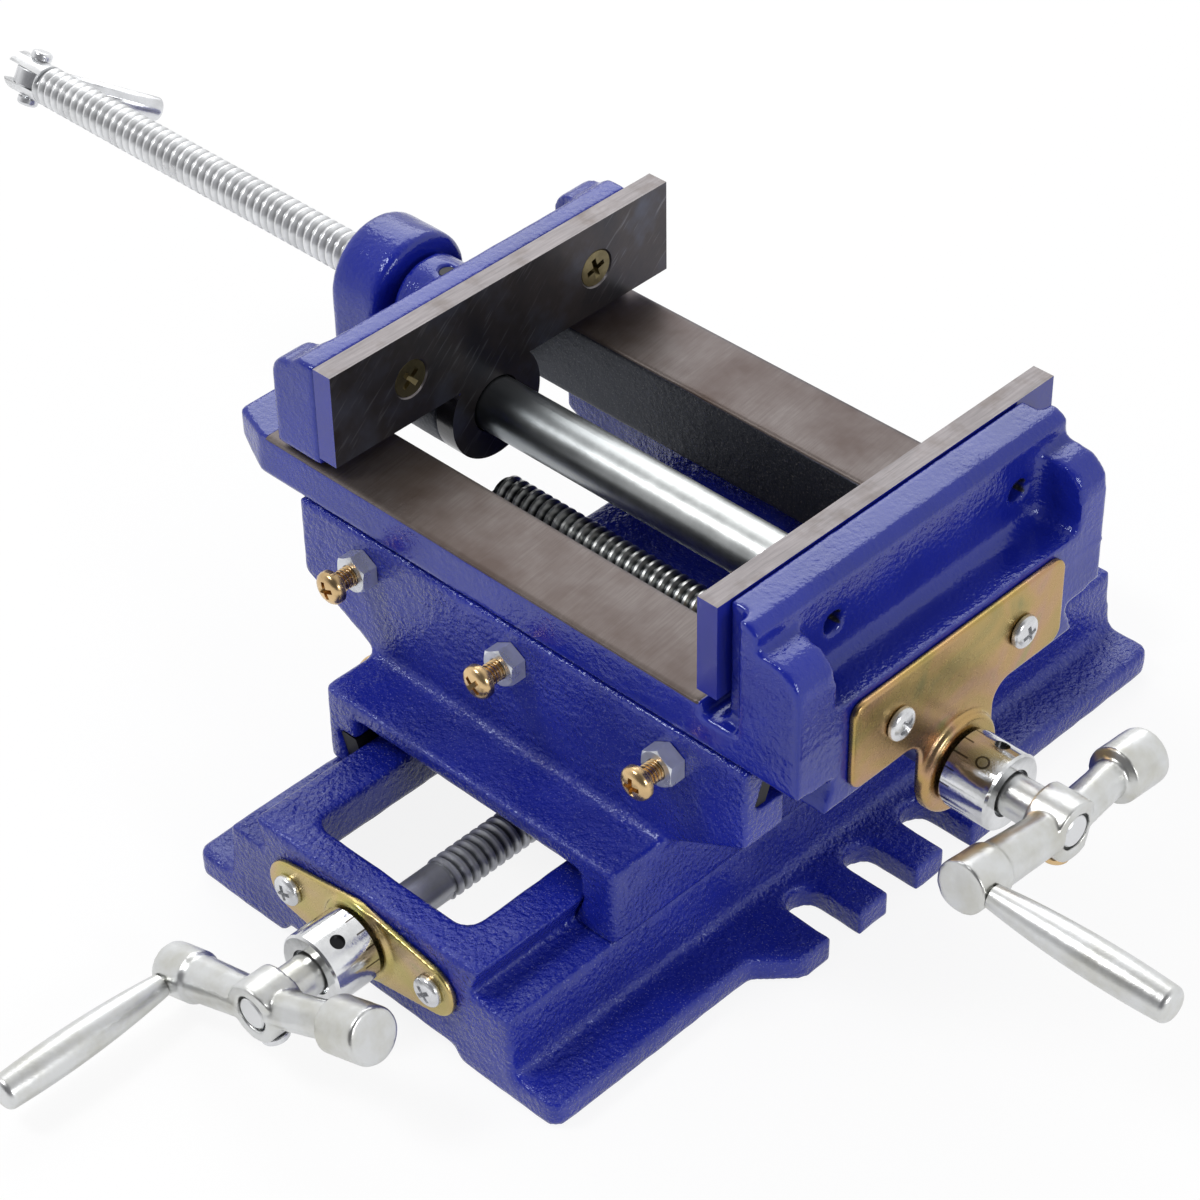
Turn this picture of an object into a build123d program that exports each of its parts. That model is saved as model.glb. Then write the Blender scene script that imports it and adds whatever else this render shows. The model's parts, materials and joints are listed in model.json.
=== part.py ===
from build123d import *
import os
from math import radians, tan

# Cross slide vise in millimetres. The origin is the centre of the base's underside, +X runs along
# the vise screw towards the fixed jaw, +Y along the lower slide away from the lower crank, +Z up.

# Fits
slide_fit = 0.05
shaft_fit = 0.05
seat_fit = 0.02
thread_fit = 0.05
screw_seat_fit = 0.1
cut_margin = 1.0

# Dovetails, shared by both slides
dovetail_angle = 69.0

# Base casting
base_length = 242.2
flange_width = 137.0
flange_thickness = 8.5
tab_width = 156.4
tab_length = 80.0
tab_root_length = 99.0
tab_corner_radius = 4.0
table_slot_width = 11.3
table_slot_depth = 18.9
table_slot_pitch = 23.0
table_slot_count = 3
base_body_width = 106.6
base_draft = 1.0
flange_fillet = 3.0
lower_way_height = 27.6
lower_dovetail_root = 76.4
lower_dovetail_height = 9.8
base_window_width = 56.8
base_window_radius = 4.0
base_deck_underside = 24.0
base_wall = 5.8
base_end_wall = 10.6
base_roof_chamfer = 8.0
foot_relief_width = 67.0
foot_relief_height = 4.0
foot_relief_angle = 60.0

# Saddle casting, in the place that it has at rest
saddle_y = -7.3
saddle_block_length = 154.0
saddle_block_width = 106.6
saddle_block_top = 52.4
lower_channel_lip = 39.1
lower_channel_width = 82.6
lower_channel_roof = 46.5
saddle_wall_width = 116.2
saddle_wall_thickness = 14.8
saddle_wall_top = 90.5
saddle_wing_reach = 160.0
saddle_wing_root = 110.0
saddle_wing_tip_height = 65.5
upper_way_floor = 76.0
saddle_corner_radius = 2.5
saddle_wall_fillet = 2.5
saddle_wing_undercut = 3.0

# Gibs, with their screws and lock nuts
lower_gib_width = 6.0
upper_gib_width = 4.2
lower_gib_height = 33.4
upper_gib_height = 80.5
lower_gib_pitch = 50.0
upper_gib_pitch = 55.0
gib_screw_count = 3
gib_screw_diameter = 6.0
gib_screw_head_diameter = 9.6
gib_screw_head_height = 3.6
gib_screw_stand_off = 10.5
gib_dimple_depth = 0.6
gib_nut_width = 10.0
gib_nut_thickness = 5.0
gib_edge_gap = 0.3
gib_end_inset = 1.0
gib_hole_depth = 11.0
gib_nut_chamfer = 0.7

# Vise body casting
body_left = -106.4
body_right = 96.0
body_width = 116.2
bed_height = 104.6
bed_side_bottom = 91.3
upper_dovetail_root = 88.0
upper_dovetail_bottom = 80.5
upper_way_step = 5.0
rail_width = 25.0
rail_slot_left = -91.0
rail_slot_right = 65.0
body_end_rise = 4.0
body_end_rise_length = 10.4
body_bevel_length = 12.0
body_bevel_depth = 4.3
arch_outer = -109.5
arch_radius = 17.5
arch_foot = 86.0
arch_edge_radius = 2.5

# Jaws
jaw_opening = 127.0
jaw_top = 137.2
jaw_plate_front = 63.8
jaw_plate_length = 125.0
jaw_plate_height = 28.5
jaw_plate_thickness = 6.4
jaw_plate_shift = 4.5
jaw_screw_pitch = 69.5
jaw_screw_drop = 14.7
jaw_screw_diameter = 6.0
jaw_screw_head_diameter = 11.0
jaw_screw_length = 11.5
jaw_screw_recess = 0.3
jaw_rim_thickness = 6.5
jaw_web_thickness = 12.2
jaw_crease_drop = 4.2
jaw_crease_thickness = 10.2
jaw_ear_width = 11.6
fixed_rim_thickness = 9.5
fixed_rim_drop = 2.0
fixed_ear_width = 12.1
fixed_pocket_shift = 1.3
fixed_pocket_radius = 4.0
jaw_ear_drop = 7.2
jaw_ear_radius = 8.5
fixed_ledge_height = 112.0
jaw_end_notch_length = 6.4
jaw_end_notch_depth = 4.0
jaw_notch_bottom = 100.6
movable_jaw_depth = 17.0
movable_jaw_bottom = 105.8
movable_jaw_pad_width = 14.0
movable_jaw_pad_inset = 1.0
movable_ear_drop = 2.7
movable_ear_radius = 6.0
screw_boss_radius = 13.0
rod_boss_radius = 16.5
boss_reach = 19.5

# Vise screw, its folding handle and the guide rod
vise_screw_height = 121.3
vise_screw_diameter = 12.0
vise_screw_left = -266.0
clevis_length = 14.0
screw_tip_chamfer = 0.8
clevis_slot_width = 5.4
clevis_tilt = 31.0
pivot_inset = 8.0
pivot_diameter = 4.0
pivot_head_diameter = 6.4
pivot_head_height = 2.2
pivot_head_gap = 0.2
pivot_head_round = 1.0
neck_diameter = 9.6
neck_length = 16.0
neck_groove_diameter = 6.6
neck_groove_width = 5.0
neck_end_gap = 0.5
retainer_diameter = 4.6
retainer_inset = 9.0
retainer_recess = 1.0
lever_angle = 70.0
lever_length = 42.0
lever_diameter = 7.5
lever_tongue_width = 7.0
lever_tongue_length = 11.0
lever_tongue_fit = 0.1
lever_end_round = 1.5
rod_height = 98.4
rod_diameter = 16.0
rod_inset = 3.5
rod_seat_depth = 22.0
rod_set_screw_diameter = 6.0
rod_plate_gap = 0.5
rod_chamfer = 0.8
rod_end_gap = 0.5
rod_set_screw_recess = 0.5

# Leadscrews and their nuts
leadscrew_diameter = 12.0
leadscrew_neck_diameter = 10.0
leadscrew_tip_chamfer = 1.0
leadscrew_end_recess = 0.3
lower_screw_height = 22.8
upper_screw_drop = 12.1
lower_screw_end = 78.0
upper_screw_end = -62.0
nut_length = 30.0
nut_radius = 11.0
nut_foot_length = 56.0
nut_foot_thickness = 8.0
nut_foot_radius = 3.0
nut_screw_pitch = 42.0
nut_screw_diameter = 6.0
nut_screw_head_diameter = 10.0
nut_screw_head_height = 6.0
nut_screw_recess = 0.3
upper_nut_x = 36.0

# Bearing plates
plate_thickness = 2.0
plate_edge_round = 0.4
plate_hole_depth = 9.6
plate_screw_diameter = 5.0
plate_screw_head_diameter = 9.0
plate_screw_head_height = 2.6
plate_screw_length = 11.0
lower_plate_rise = 1.0
lower_plate_middle_radius = 12.6
lower_plate_end_radius = 8.1
lower_plate_screw_pitch = 52.6
upper_plate_rise = 2.0
plate_rise_round = 1.4
upper_plate_width = 80.0
upper_plate_top = 110.5
upper_plate_bottom = 84.0
upper_plate_lobe_radius = 14.0
upper_plate_corner_radius = 4.0
upper_plate_fillet = 6.0
upper_plate_screw_pitch = 47.0
upper_plate_screw_height = 96.5

# Dial collars, cranks and crank handles, alike on both screws
collar_diameter = 21.4
collar_length = 14.8
collar_gap = 0.8
collar_recess_diameter = 13.2
collar_recess_depth = 4.0
collar_screw_diameter = 4.0
collar_screw_inset = 8.8
collar_screw_recess = 1.0
collar_chamfer = 0.6
crank_reach = 38.0
crank_arm_inset = 5.0
crank_hub_diameter = 17.0
crank_hub_length = 11.0
crank_sleeve_diameter = 11.6
crank_radius = 35.5
crank_head_diameter = 14.5
crank_head_end = 43.0
crank_head_length = 15.0
crank_arm_root_diameter = 11.0
crank_arm_tip_diameter = 12.6
weight_diameter = 15.6
weight_end = 44.6
weight_length = 16.0
weight_arm_diameter = 10.4
crank_edge_radius = 1.2
crank_taper = 1.5
crank_sleeve_gap = 0.5
crank_screw_diameter = 4.0
crank_screw_head_diameter = 7.6
crank_screw_head_height = 2.6
handle_length = 52.5
handle_root_diameter = 6.6
handle_swell_diameter = 10.5
handle_end_diameter = 9.4
handle_swell_share = 0.68
handle_tenon_diameter = 5.0
handle_tenon_length = 8.0
handle_edge_radius = 2.0
handle_socket_spare = 0.5
lower_crank_angle = 19.0
upper_crank_angle = 8.0
lower_collar_angle = 155.0
upper_collar_angle = 162.5

# Heights and places that follow from the sizes above
dovetail_slope = 1 / tan(radians(dovetail_angle))
base_half = base_length / 2
lower_dovetail_top = lower_way_height + lower_dovetail_height
upper_dovetail_height = bed_side_bottom - upper_dovetail_bottom
saddle_bottom = lower_way_height + slide_fit
bed_pad_bottom = saddle_wall_top + slide_fit
upper_screw_height = upper_dovetail_bottom - upper_screw_drop
jaw_plate_bottom = jaw_top - jaw_plate_height
jaw_screw_height = jaw_top - jaw_screw_drop
jaw_crease_height = jaw_top - jaw_crease_drop
jaw_ear_height = jaw_top - jaw_ear_drop
movable_ear_height = jaw_top - movable_ear_drop
jaw_seat = jaw_plate_front + jaw_plate_thickness
movable_front = jaw_plate_front - jaw_opening
movable_seat = movable_front - jaw_plate_thickness
jaw_plate_y = saddle_y + jaw_plate_shift
boss_back = movable_seat - boss_reach
pivot_x = vise_screw_left + pivot_inset
rod_screw_x = (arch_outer + rail_slot_left) / 2
collar_screw_height = plate_thickness + collar_gap + collar_screw_inset

# Planes that look along each screw from its crank end: local z runs out of the end face
lower_end = Plane(origin=(0, -base_half, lower_screw_height), x_dir=(-1, 0, 0), z_dir=(0, -1, 0))
upper_end = Plane(origin=(body_right, saddle_y, upper_screw_height), x_dir=(0, -1, 0), z_dir=(1, 0, 0))

# The same planes at the bearing shoulders, which sit in the raised middles of the bearing plates
lower_shaft = lower_end.offset(lower_plate_rise)
upper_shaft = upper_end.offset(upper_plate_rise)

os.makedirs("parts", exist_ok=True)


def finish(piece, name):
    """Label one finished piece and write its STEP file."""
    piece.part.label = name
    export_step(piece.part, f"parts/{name}.step")
    print(name, round(piece.part.volume, 1))


def turned(plane, angle):
    """The same plane turned about its own normal."""
    spin = Axis((0, 0, 0), plane.z_dir)
    return Plane(origin=plane.origin, x_dir=plane.x_dir.rotate(spin, angle), z_dir=plane.z_dir)


def across_x(x=0.0):
    """Plane across the X axis: local x is +Y and local y is +Z, with the normal along +X."""
    return Plane(origin=(x, 0, 0), x_dir=(0, 1, 0), z_dir=(1, 0, 0))


def across_y(y=0.0):
    """Plane across the Y axis: local x is +X and local y is +Z, with the normal along -Y."""
    return Plane(origin=(0, y, 0), x_dir=(1, 0, 0), z_dir=(0, -1, 0))


def headed_screw(thread, length, head, head_height, crown=0.4):
    """Round-headed screw that hangs along -Z from the seat of its head at z = 0."""
    with BuildPart() as screw:
        Cylinder(thread / 2, length, align=(Align.CENTER, Align.CENTER, Align.MAX))
        Cylinder(head / 2, head_height, align=(Align.CENTER, Align.CENTER, Align.MIN))
        fillet(screw.edges().group_by(Axis.Z)[-1], head_height * crown)
    return screw.part


def gib_screw(length):
    """Gib adjusting screw along -Z: its head stands off the lock nut and its tip ends at z = -length."""
    return headed_screw(gib_screw_diameter, length, gib_screw_head_diameter, gib_screw_head_height)


def lock_nut():
    """Hexagon nut that stands on z = 0 round the Z axis, with chamfered corners."""
    with BuildPart() as nut:
        with BuildSketch():
            RegularPolygon(gib_nut_width / 2, 6, major_radius=False, rotation=30)
            Circle(gib_screw_diameter / 2 + thread_fit, mode=Mode.SUBTRACT)
        extrude(amount=gib_nut_thickness)
        with BuildSketch(Plane.XZ) as corner:
            with BuildLine():
                Polyline(
                    (gib_nut_width / 2 - seat_fit, gib_nut_thickness),
                    (gib_nut_width / 2 + cut_margin, gib_nut_thickness),
                    (gib_nut_width / 2 + cut_margin, gib_nut_thickness - gib_nut_chamfer),
                    close=True,
                )
            make_face()
        revolve(axis=Axis.Z, mode=Mode.SUBTRACT)
    return nut.part


def raised_middle(radius, rise):
    """Raised middle of a pressed bearing plate along +Z, open behind for the screw's shoulder."""
    with BuildPart() as middle:
        Cylinder(radius, plate_thickness + rise, align=(Align.CENTER, Align.CENTER, Align.MIN))
        fillet(middle.edges().group_by(Axis.Z)[-1], plate_rise_round)
        Cylinder(
            radius - plate_thickness,
            rise,
            align=(Align.CENTER, Align.CENTER, Align.MIN),
            mode=Mode.SUBTRACT,
        )
        Hole(leadscrew_neck_diameter / 2 + shaft_fit)
    return middle.part


def dovetail_edge(root, top, z):
    """Half-width of a male dovetail flank at height z, from its half-width at the root's height."""
    return root + abs(z - top) * dovetail_slope


lower_crank_plane = turned(lower_shaft, lower_crank_angle)
upper_crank_plane = turned(upper_shaft, -upper_crank_angle)

# Base casting: walls and deck in one section, hollow below, with a long window for the nut
with BuildPart() as base_casting:
    with BuildSketch() as flange:
        with BuildLine():
            outline = Polyline(
                (0, -base_half),
                (flange_width / 2, -base_half),
                (flange_width / 2, -tab_root_length / 2),
                (tab_width / 2, -tab_length / 2),
                (tab_width / 2, tab_length / 2),
                (flange_width / 2, tab_root_length / 2),
                (flange_width / 2, base_half),
                (0, base_half),
            )
            mirror(outline, about=Plane.YZ)
        make_face()
        fillet(flange.vertices(), tab_corner_radius)
        with GridLocations(tab_width, table_slot_pitch, 2, table_slot_count):
            SlotCenterToCenter(
                2 * (table_slot_depth - table_slot_width / 2), table_slot_width, mode=Mode.SUBTRACT
            )
    extrude(amount=flange_thickness)
    with BuildSketch(across_y()):
        with BuildLine():
            side = Polyline(
                (0, 0),
                (base_body_width / 2, 0),
                (base_body_width / 2, flange_thickness),
                (base_body_width / 2 - base_draft, lower_way_height),
                (lower_dovetail_root / 2, lower_way_height),
                (lower_dovetail_root / 2 + lower_dovetail_height * dovetail_slope, lower_dovetail_top),
                (0, lower_dovetail_top),
            )
            mirror(side, about=Plane.YZ)
        make_face()
    extrude(amount=base_half, both=True)
    flange_joint = base_casting.edges().filter_by(Axis.Y).filter_by_position(
        Axis.Z, flange_thickness, flange_thickness
    )
    body_reach = flange_width / 2 - cut_margin
    fillet(flange_joint.filter_by_position(Axis.X, -body_reach, body_reach), flange_fillet)
    with BuildSketch(across_y()):
        with BuildLine():
            inside = base_body_width / 2 - base_wall
            roof = Polyline(
                (0, 0),
                (inside, 0),
                (inside, base_deck_underside - base_roof_chamfer),
                (inside - base_roof_chamfer, base_deck_underside),
                (0, base_deck_underside),
            )
            mirror(roof, about=Plane.YZ)
        make_face()
    extrude(amount=base_half - base_end_wall, both=True, mode=Mode.SUBTRACT)
    with BuildSketch(Plane.XY.offset(base_deck_underside)):
        RectangleRounded(base_window_width, base_length - 2 * base_end_wall, base_window_radius)
    extrude(amount=lower_dovetail_height * 2, mode=Mode.SUBTRACT)
    with BuildSketch(across_y()):
        with Locations((0, foot_relief_height / 2)):
            Trapezoid(foot_relief_width, foot_relief_height, foot_relief_angle)
    extrude(amount=base_half, both=True, mode=Mode.SUBTRACT)
    with Locations(lower_end):
        Hole(leadscrew_diameter / 2 + shaft_fit, base_end_wall)
        with Locations((-lower_plate_screw_pitch / 2, 0), (lower_plate_screw_pitch / 2, 0)):
            Hole(plate_screw_diameter / 2 + thread_fit, plate_hole_depth)
finish(base_casting, "base_casting")

# Lower bearing plate: a lozenge that carries the lower screw's neck
with BuildPart() as lower_bearing_plate:
    with BuildSketch(lower_end) as lozenge:
        Circle(lower_plate_middle_radius)
        with Locations((-lower_plate_screw_pitch / 2, 0), (lower_plate_screw_pitch / 2, 0)):
            Circle(lower_plate_end_radius)
        make_hull()
        Circle(lower_plate_middle_radius - plate_thickness, mode=Mode.SUBTRACT)
        with Locations((-lower_plate_screw_pitch / 2, 0), (lower_plate_screw_pitch / 2, 0)):
            Circle(plate_screw_diameter / 2 + screw_seat_fit, mode=Mode.SUBTRACT)
    extrude(amount=plate_thickness)
    outer_rim = lower_bearing_plate.faces().sort_by(Axis.Y)[0].outer_wire().edges()
    fillet(outer_rim, plate_edge_round)
    with Locations(lower_end):
        add(raised_middle(lower_plate_middle_radius, lower_plate_rise))
finish(lower_bearing_plate, "lower_bearing_plate")

plate_screw = headed_screw(
    plate_screw_diameter, plate_screw_length, plate_screw_head_diameter, plate_screw_head_height
)
with BuildPart() as lower_plate_screws:
    with Locations(lower_end.offset(plate_thickness)):
        with Locations((-lower_plate_screw_pitch / 2, 0), (lower_plate_screw_pitch / 2, 0)):
            add(plate_screw)
finish(lower_plate_screws, "lower_plate_screws")

# Saddle casting: the lower block rides along the base, and its two winged walls carry the vise body
saddle_half = saddle_block_length / 2
wall_half = saddle_wall_width / 2
lower_female = lower_dovetail_root / 2 + slide_fit
upper_female = upper_dovetail_root / 2 + slide_fit
lip = (lower_channel_lip - lower_way_height) * dovetail_slope
floor_drop = (saddle_wall_top - upper_way_floor) * dovetail_slope
top_half = dovetail_edge(upper_female, bed_side_bottom, saddle_wall_top)
gap_half = wall_half - saddle_wall_thickness
lower_gib_side = Plane(origin=(-saddle_block_width / 2, saddle_y, lower_gib_height), z_dir=(-1, 0, 0))
upper_gib_side = across_y(saddle_y - wall_half)
gib_steps = [index - (gib_screw_count - 1) / 2 for index in range(gib_screw_count)]
upper_gib_places = [(step * upper_gib_pitch, upper_gib_height) for step in gib_steps]
with BuildPart() as saddle_casting:
    with BuildSketch(across_y(saddle_y)):
        with BuildLine():
            Polyline(
                (-saddle_block_width / 2, saddle_bottom),
                (-lower_female - lower_gib_width, saddle_bottom),
                (-lower_female - lower_gib_width - lip, lower_channel_lip),
                (-lower_channel_width / 2, lower_channel_lip),
                (-lower_channel_width / 2, lower_channel_roof),
                (lower_channel_width / 2, lower_channel_roof),
                (lower_channel_width / 2, lower_channel_lip),
                (lower_female + lip, lower_channel_lip),
                (lower_female, saddle_bottom),
                (saddle_block_width / 2, saddle_bottom),
                (saddle_block_width / 2, saddle_block_top),
                (-saddle_block_width / 2, saddle_block_top),
                close=True,
            )
        make_face()
    extrude(amount=saddle_half, both=True)
    fillet(saddle_casting.edges().filter_by(Axis.Z).group_by(SortBy.LENGTH)[-1], saddle_corner_radius)
    with BuildSketch(across_y(saddle_y)):
        with BuildLine():
            wing = Polyline(
                (0, lower_channel_roof),
                (saddle_wing_root / 2 - saddle_wing_undercut, lower_channel_roof),
                (saddle_wing_root / 2, saddle_block_top),
                (saddle_wing_reach / 2, saddle_wing_tip_height),
                (saddle_wing_reach / 2, saddle_wall_top),
                (0, saddle_wall_top),
            )
            mirror(wing, about=Plane.YZ)
        make_face()
    extrude(amount=wall_half, both=True)
    with BuildSketch(across_x()):
        with BuildLine():
            Polyline(
                (saddle_y - top_half - upper_gib_width, saddle_wall_top),
                (saddle_y - top_half - upper_gib_width - floor_drop, upper_way_floor),
                (saddle_y - gap_half, upper_way_floor),
                (saddle_y - gap_half, saddle_block_top),
                (saddle_y + gap_half, saddle_block_top),
                (saddle_y + gap_half, upper_way_floor),
                (saddle_y + top_half + floor_drop, upper_way_floor),
                (saddle_y + top_half, saddle_wall_top),
                close=True,
            )
        make_face()
    extrude(amount=saddle_wing_reach / 2, both=True, mode=Mode.SUBTRACT)
    with BuildSketch(Plane.XY.offset(lower_channel_roof)):
        with Locations((0, saddle_y)):
            Rectangle(saddle_wing_reach, 2 * gap_half)
            Rectangle(saddle_block_width, 2 * gap_half, mode=Mode.SUBTRACT)
    extrude(amount=saddle_block_top - lower_channel_roof, mode=Mode.SUBTRACT)
    wall_foot = saddle_casting.edges().filter_by(Axis.X).filter_by_position(
        Axis.Z, saddle_block_top, saddle_block_top
    )
    foot_reach = wall_half + slide_fit
    wall_foot = wall_foot.filter_by_position(Axis.Y, saddle_y - foot_reach, saddle_y + foot_reach)
    fillet(wall_foot.group_by(Axis.Y)[0] + wall_foot.group_by(Axis.Y)[-1], saddle_wall_fillet)
    with Locations(upper_gib_side):
        with Locations(*upper_gib_places):
            Hole(gib_screw_diameter / 2 + thread_fit, gib_hole_depth)
    with Locations(lower_gib_side):
        with GridLocations(1, lower_gib_pitch, 1, gib_screw_count):
            Hole(gib_screw_diameter / 2 + thread_fit, gib_hole_depth)
    with Locations(Plane(origin=(0, saddle_y, saddle_block_top))):
        with GridLocations(nut_screw_pitch, 1, 2, 1):
            Hole(nut_screw_diameter / 2 + thread_fit, saddle_block_top - lower_channel_roof)
    with Locations(Plane(origin=(upper_nut_x, saddle_y, saddle_block_top))):
        with GridLocations(1, nut_screw_pitch, 1, 2):
            Hole(nut_screw_diameter / 2 + thread_fit, saddle_block_top - lower_channel_roof)
finish(saddle_casting, "saddle_casting")

# Gibs: strips that fill the adjusting side of each slide, dimpled for the tips of their screws
lower_gib_outer = dovetail_edge(lower_female, lower_way_height, lower_gib_height) + lower_gib_width
lower_gib_tip = lower_gib_outer - gib_dimple_depth
with BuildPart() as lower_gib:
    with BuildSketch(across_y(saddle_y)):
        with BuildLine():
            low = saddle_bottom + gib_edge_gap
            high = lower_channel_lip - gib_edge_gap
            low_edge = dovetail_edge(lower_female, lower_way_height, low)
            high_edge = dovetail_edge(lower_female, lower_way_height, high)
            Polyline(
                (-low_edge, low),
                (-high_edge, high),
                (-high_edge - lower_gib_width + seat_fit, high),
                (-low_edge - lower_gib_width + seat_fit, low),
                close=True,
            )
        make_face()
    extrude(amount=saddle_half - gib_end_inset, both=True)
    with BuildSketch(Plane(origin=(-lower_gib_tip, saddle_y, lower_gib_height), z_dir=(-1, 0, 0))):
        with GridLocations(1, lower_gib_pitch, 1, gib_screw_count):
            Circle(gib_screw_diameter / 2 + screw_seat_fit)
    extrude(amount=lower_gib_width, mode=Mode.SUBTRACT)
finish(lower_gib, "lower_gib")

upper_gib_outer = dovetail_edge(upper_female, bed_side_bottom, upper_gib_height) + upper_gib_width
upper_gib_tip = upper_gib_outer - gib_dimple_depth
with BuildPart() as upper_gib:
    with BuildSketch(across_x()):
        with BuildLine():
            low = upper_way_floor + gib_edge_gap
            high = saddle_wall_top - gib_edge_gap
            low_edge = dovetail_edge(upper_female, bed_side_bottom, low)
            high_edge = dovetail_edge(upper_female, bed_side_bottom, high)
            Polyline(
                (saddle_y - low_edge, low),
                (saddle_y - high_edge, high),
                (saddle_y - high_edge - upper_gib_width + seat_fit, high),
                (saddle_y - low_edge - upper_gib_width + seat_fit, low),
                close=True,
            )
        make_face()
    extrude(amount=saddle_wing_reach / 2 - gib_end_inset, both=True)
    with BuildSketch(across_y(saddle_y - upper_gib_tip)):
        with Locations(*upper_gib_places):
            Circle(gib_screw_diameter / 2 + screw_seat_fit)
    extrude(amount=upper_gib_width, mode=Mode.SUBTRACT)
finish(upper_gib, "upper_gib")

nut = lock_nut()
lower_gib_screw_length = saddle_block_width / 2 + gib_screw_stand_off - lower_gib_tip - seat_fit
upper_gib_screw_length = wall_half + gib_screw_stand_off - upper_gib_tip - seat_fit
with BuildPart() as lower_gib_screws:
    with Locations(lower_gib_side.offset(gib_screw_stand_off)):
        with GridLocations(1, lower_gib_pitch, 1, gib_screw_count):
            add(gib_screw(lower_gib_screw_length))
finish(lower_gib_screws, "lower_gib_screws")
with BuildPart() as lower_gib_lock_nuts:
    with Locations(lower_gib_side):
        with GridLocations(1, lower_gib_pitch, 1, gib_screw_count):
            add(nut)
finish(lower_gib_lock_nuts, "lower_gib_lock_nuts")
with BuildPart() as upper_gib_screws:
    with Locations(upper_gib_side.offset(gib_screw_stand_off)):
        with Locations(*upper_gib_places):
            add(gib_screw(upper_gib_screw_length))
finish(upper_gib_screws, "upper_gib_screws")
with BuildPart() as upper_gib_lock_nuts:
    with Locations(upper_gib_side):
        with Locations(*upper_gib_places):
            add(nut)
finish(upper_gib_lock_nuts, "upper_gib_lock_nuts")

# Leadscrew nuts: the lower one hangs from the channel roof, the upper one stands on the saddle's deck
with BuildPart() as lower_leadscrew_nut:
    with BuildSketch(across_y(saddle_y)):
        with Locations((0, lower_channel_roof)):
            Rectangle(nut_foot_length, nut_foot_thickness, align=(Align.CENTER, Align.MAX))
            Rectangle(
                2 * nut_radius, lower_channel_roof - lower_screw_height, align=(Align.CENTER, Align.MAX)
            )
        with Locations((0, lower_screw_height)):
            Circle(nut_radius)
            Circle(leadscrew_diameter / 2 + thread_fit, mode=Mode.SUBTRACT)
    extrude(amount=nut_length / 2, both=True)
    with Locations(Plane(origin=(0, saddle_y, lower_channel_roof))):
        with GridLocations(nut_screw_pitch, 1, 2, 1):
            Hole(nut_screw_diameter / 2 + screw_seat_fit, nut_foot_thickness)
    foot_corners = lower_leadscrew_nut.edges().filter_by(Axis.Z).filter_by(GeomType.LINE).group_by(Axis.X)
    fillet(foot_corners[0] + foot_corners[-1], nut_foot_radius)
finish(lower_leadscrew_nut, "lower_leadscrew_nut")

with BuildPart() as upper_leadscrew_nut:
    with BuildSketch(across_x(upper_nut_x)):
        with Locations((saddle_y, upper_screw_height)):
            Circle(nut_radius)
        with Locations((saddle_y, saddle_block_top)):
            Rectangle(
                2 * nut_radius, upper_screw_height - saddle_block_top, align=(Align.CENTER, Align.MIN)
            )
            Rectangle(2 * nut_radius, nut_radius, align=(Align.CENTER, Align.MAX), mode=Mode.SUBTRACT)
            Rectangle(nut_foot_length, nut_foot_thickness, align=(Align.CENTER, Align.MIN))
        with Locations((saddle_y, upper_screw_height)):
            Circle(leadscrew_diameter / 2 + thread_fit, mode=Mode.SUBTRACT)
    extrude(amount=nut_length / 2, both=True)
    with Locations(Plane(origin=(upper_nut_x, saddle_y, saddle_block_top + nut_foot_thickness))):
        with GridLocations(1, nut_screw_pitch, 1, 2):
            Hole(nut_screw_diameter / 2 + screw_seat_fit, nut_foot_thickness)
    foot_corners = upper_leadscrew_nut.edges().filter_by(Axis.Z).filter_by(GeomType.LINE).group_by(Axis.Y)
    fillet(foot_corners[0] + foot_corners[-1], nut_foot_radius)
finish(upper_leadscrew_nut, "upper_leadscrew_nut")

nut_screw = headed_screw(
    nut_screw_diameter,
    nut_foot_thickness + saddle_block_top - lower_channel_roof - nut_screw_recess,
    nut_screw_head_diameter,
    nut_screw_head_height,
    crown=0.15,
)
with BuildPart() as lower_nut_screws:
    with Locations(Plane(origin=(0, saddle_y, lower_channel_roof - nut_foot_thickness), z_dir=(0, 0, -1))):
        with GridLocations(nut_screw_pitch, 1, 2, 1):
            add(nut_screw)
finish(lower_nut_screws, "lower_nut_screws")
with BuildPart() as upper_nut_screws:
    with Locations(Plane(origin=(upper_nut_x, saddle_y, saddle_block_top + nut_foot_thickness))):
        with GridLocations(1, nut_screw_pitch, 1, 2):
            add(nut_screw)
finish(upper_nut_screws, "upper_nut_screws")

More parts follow.
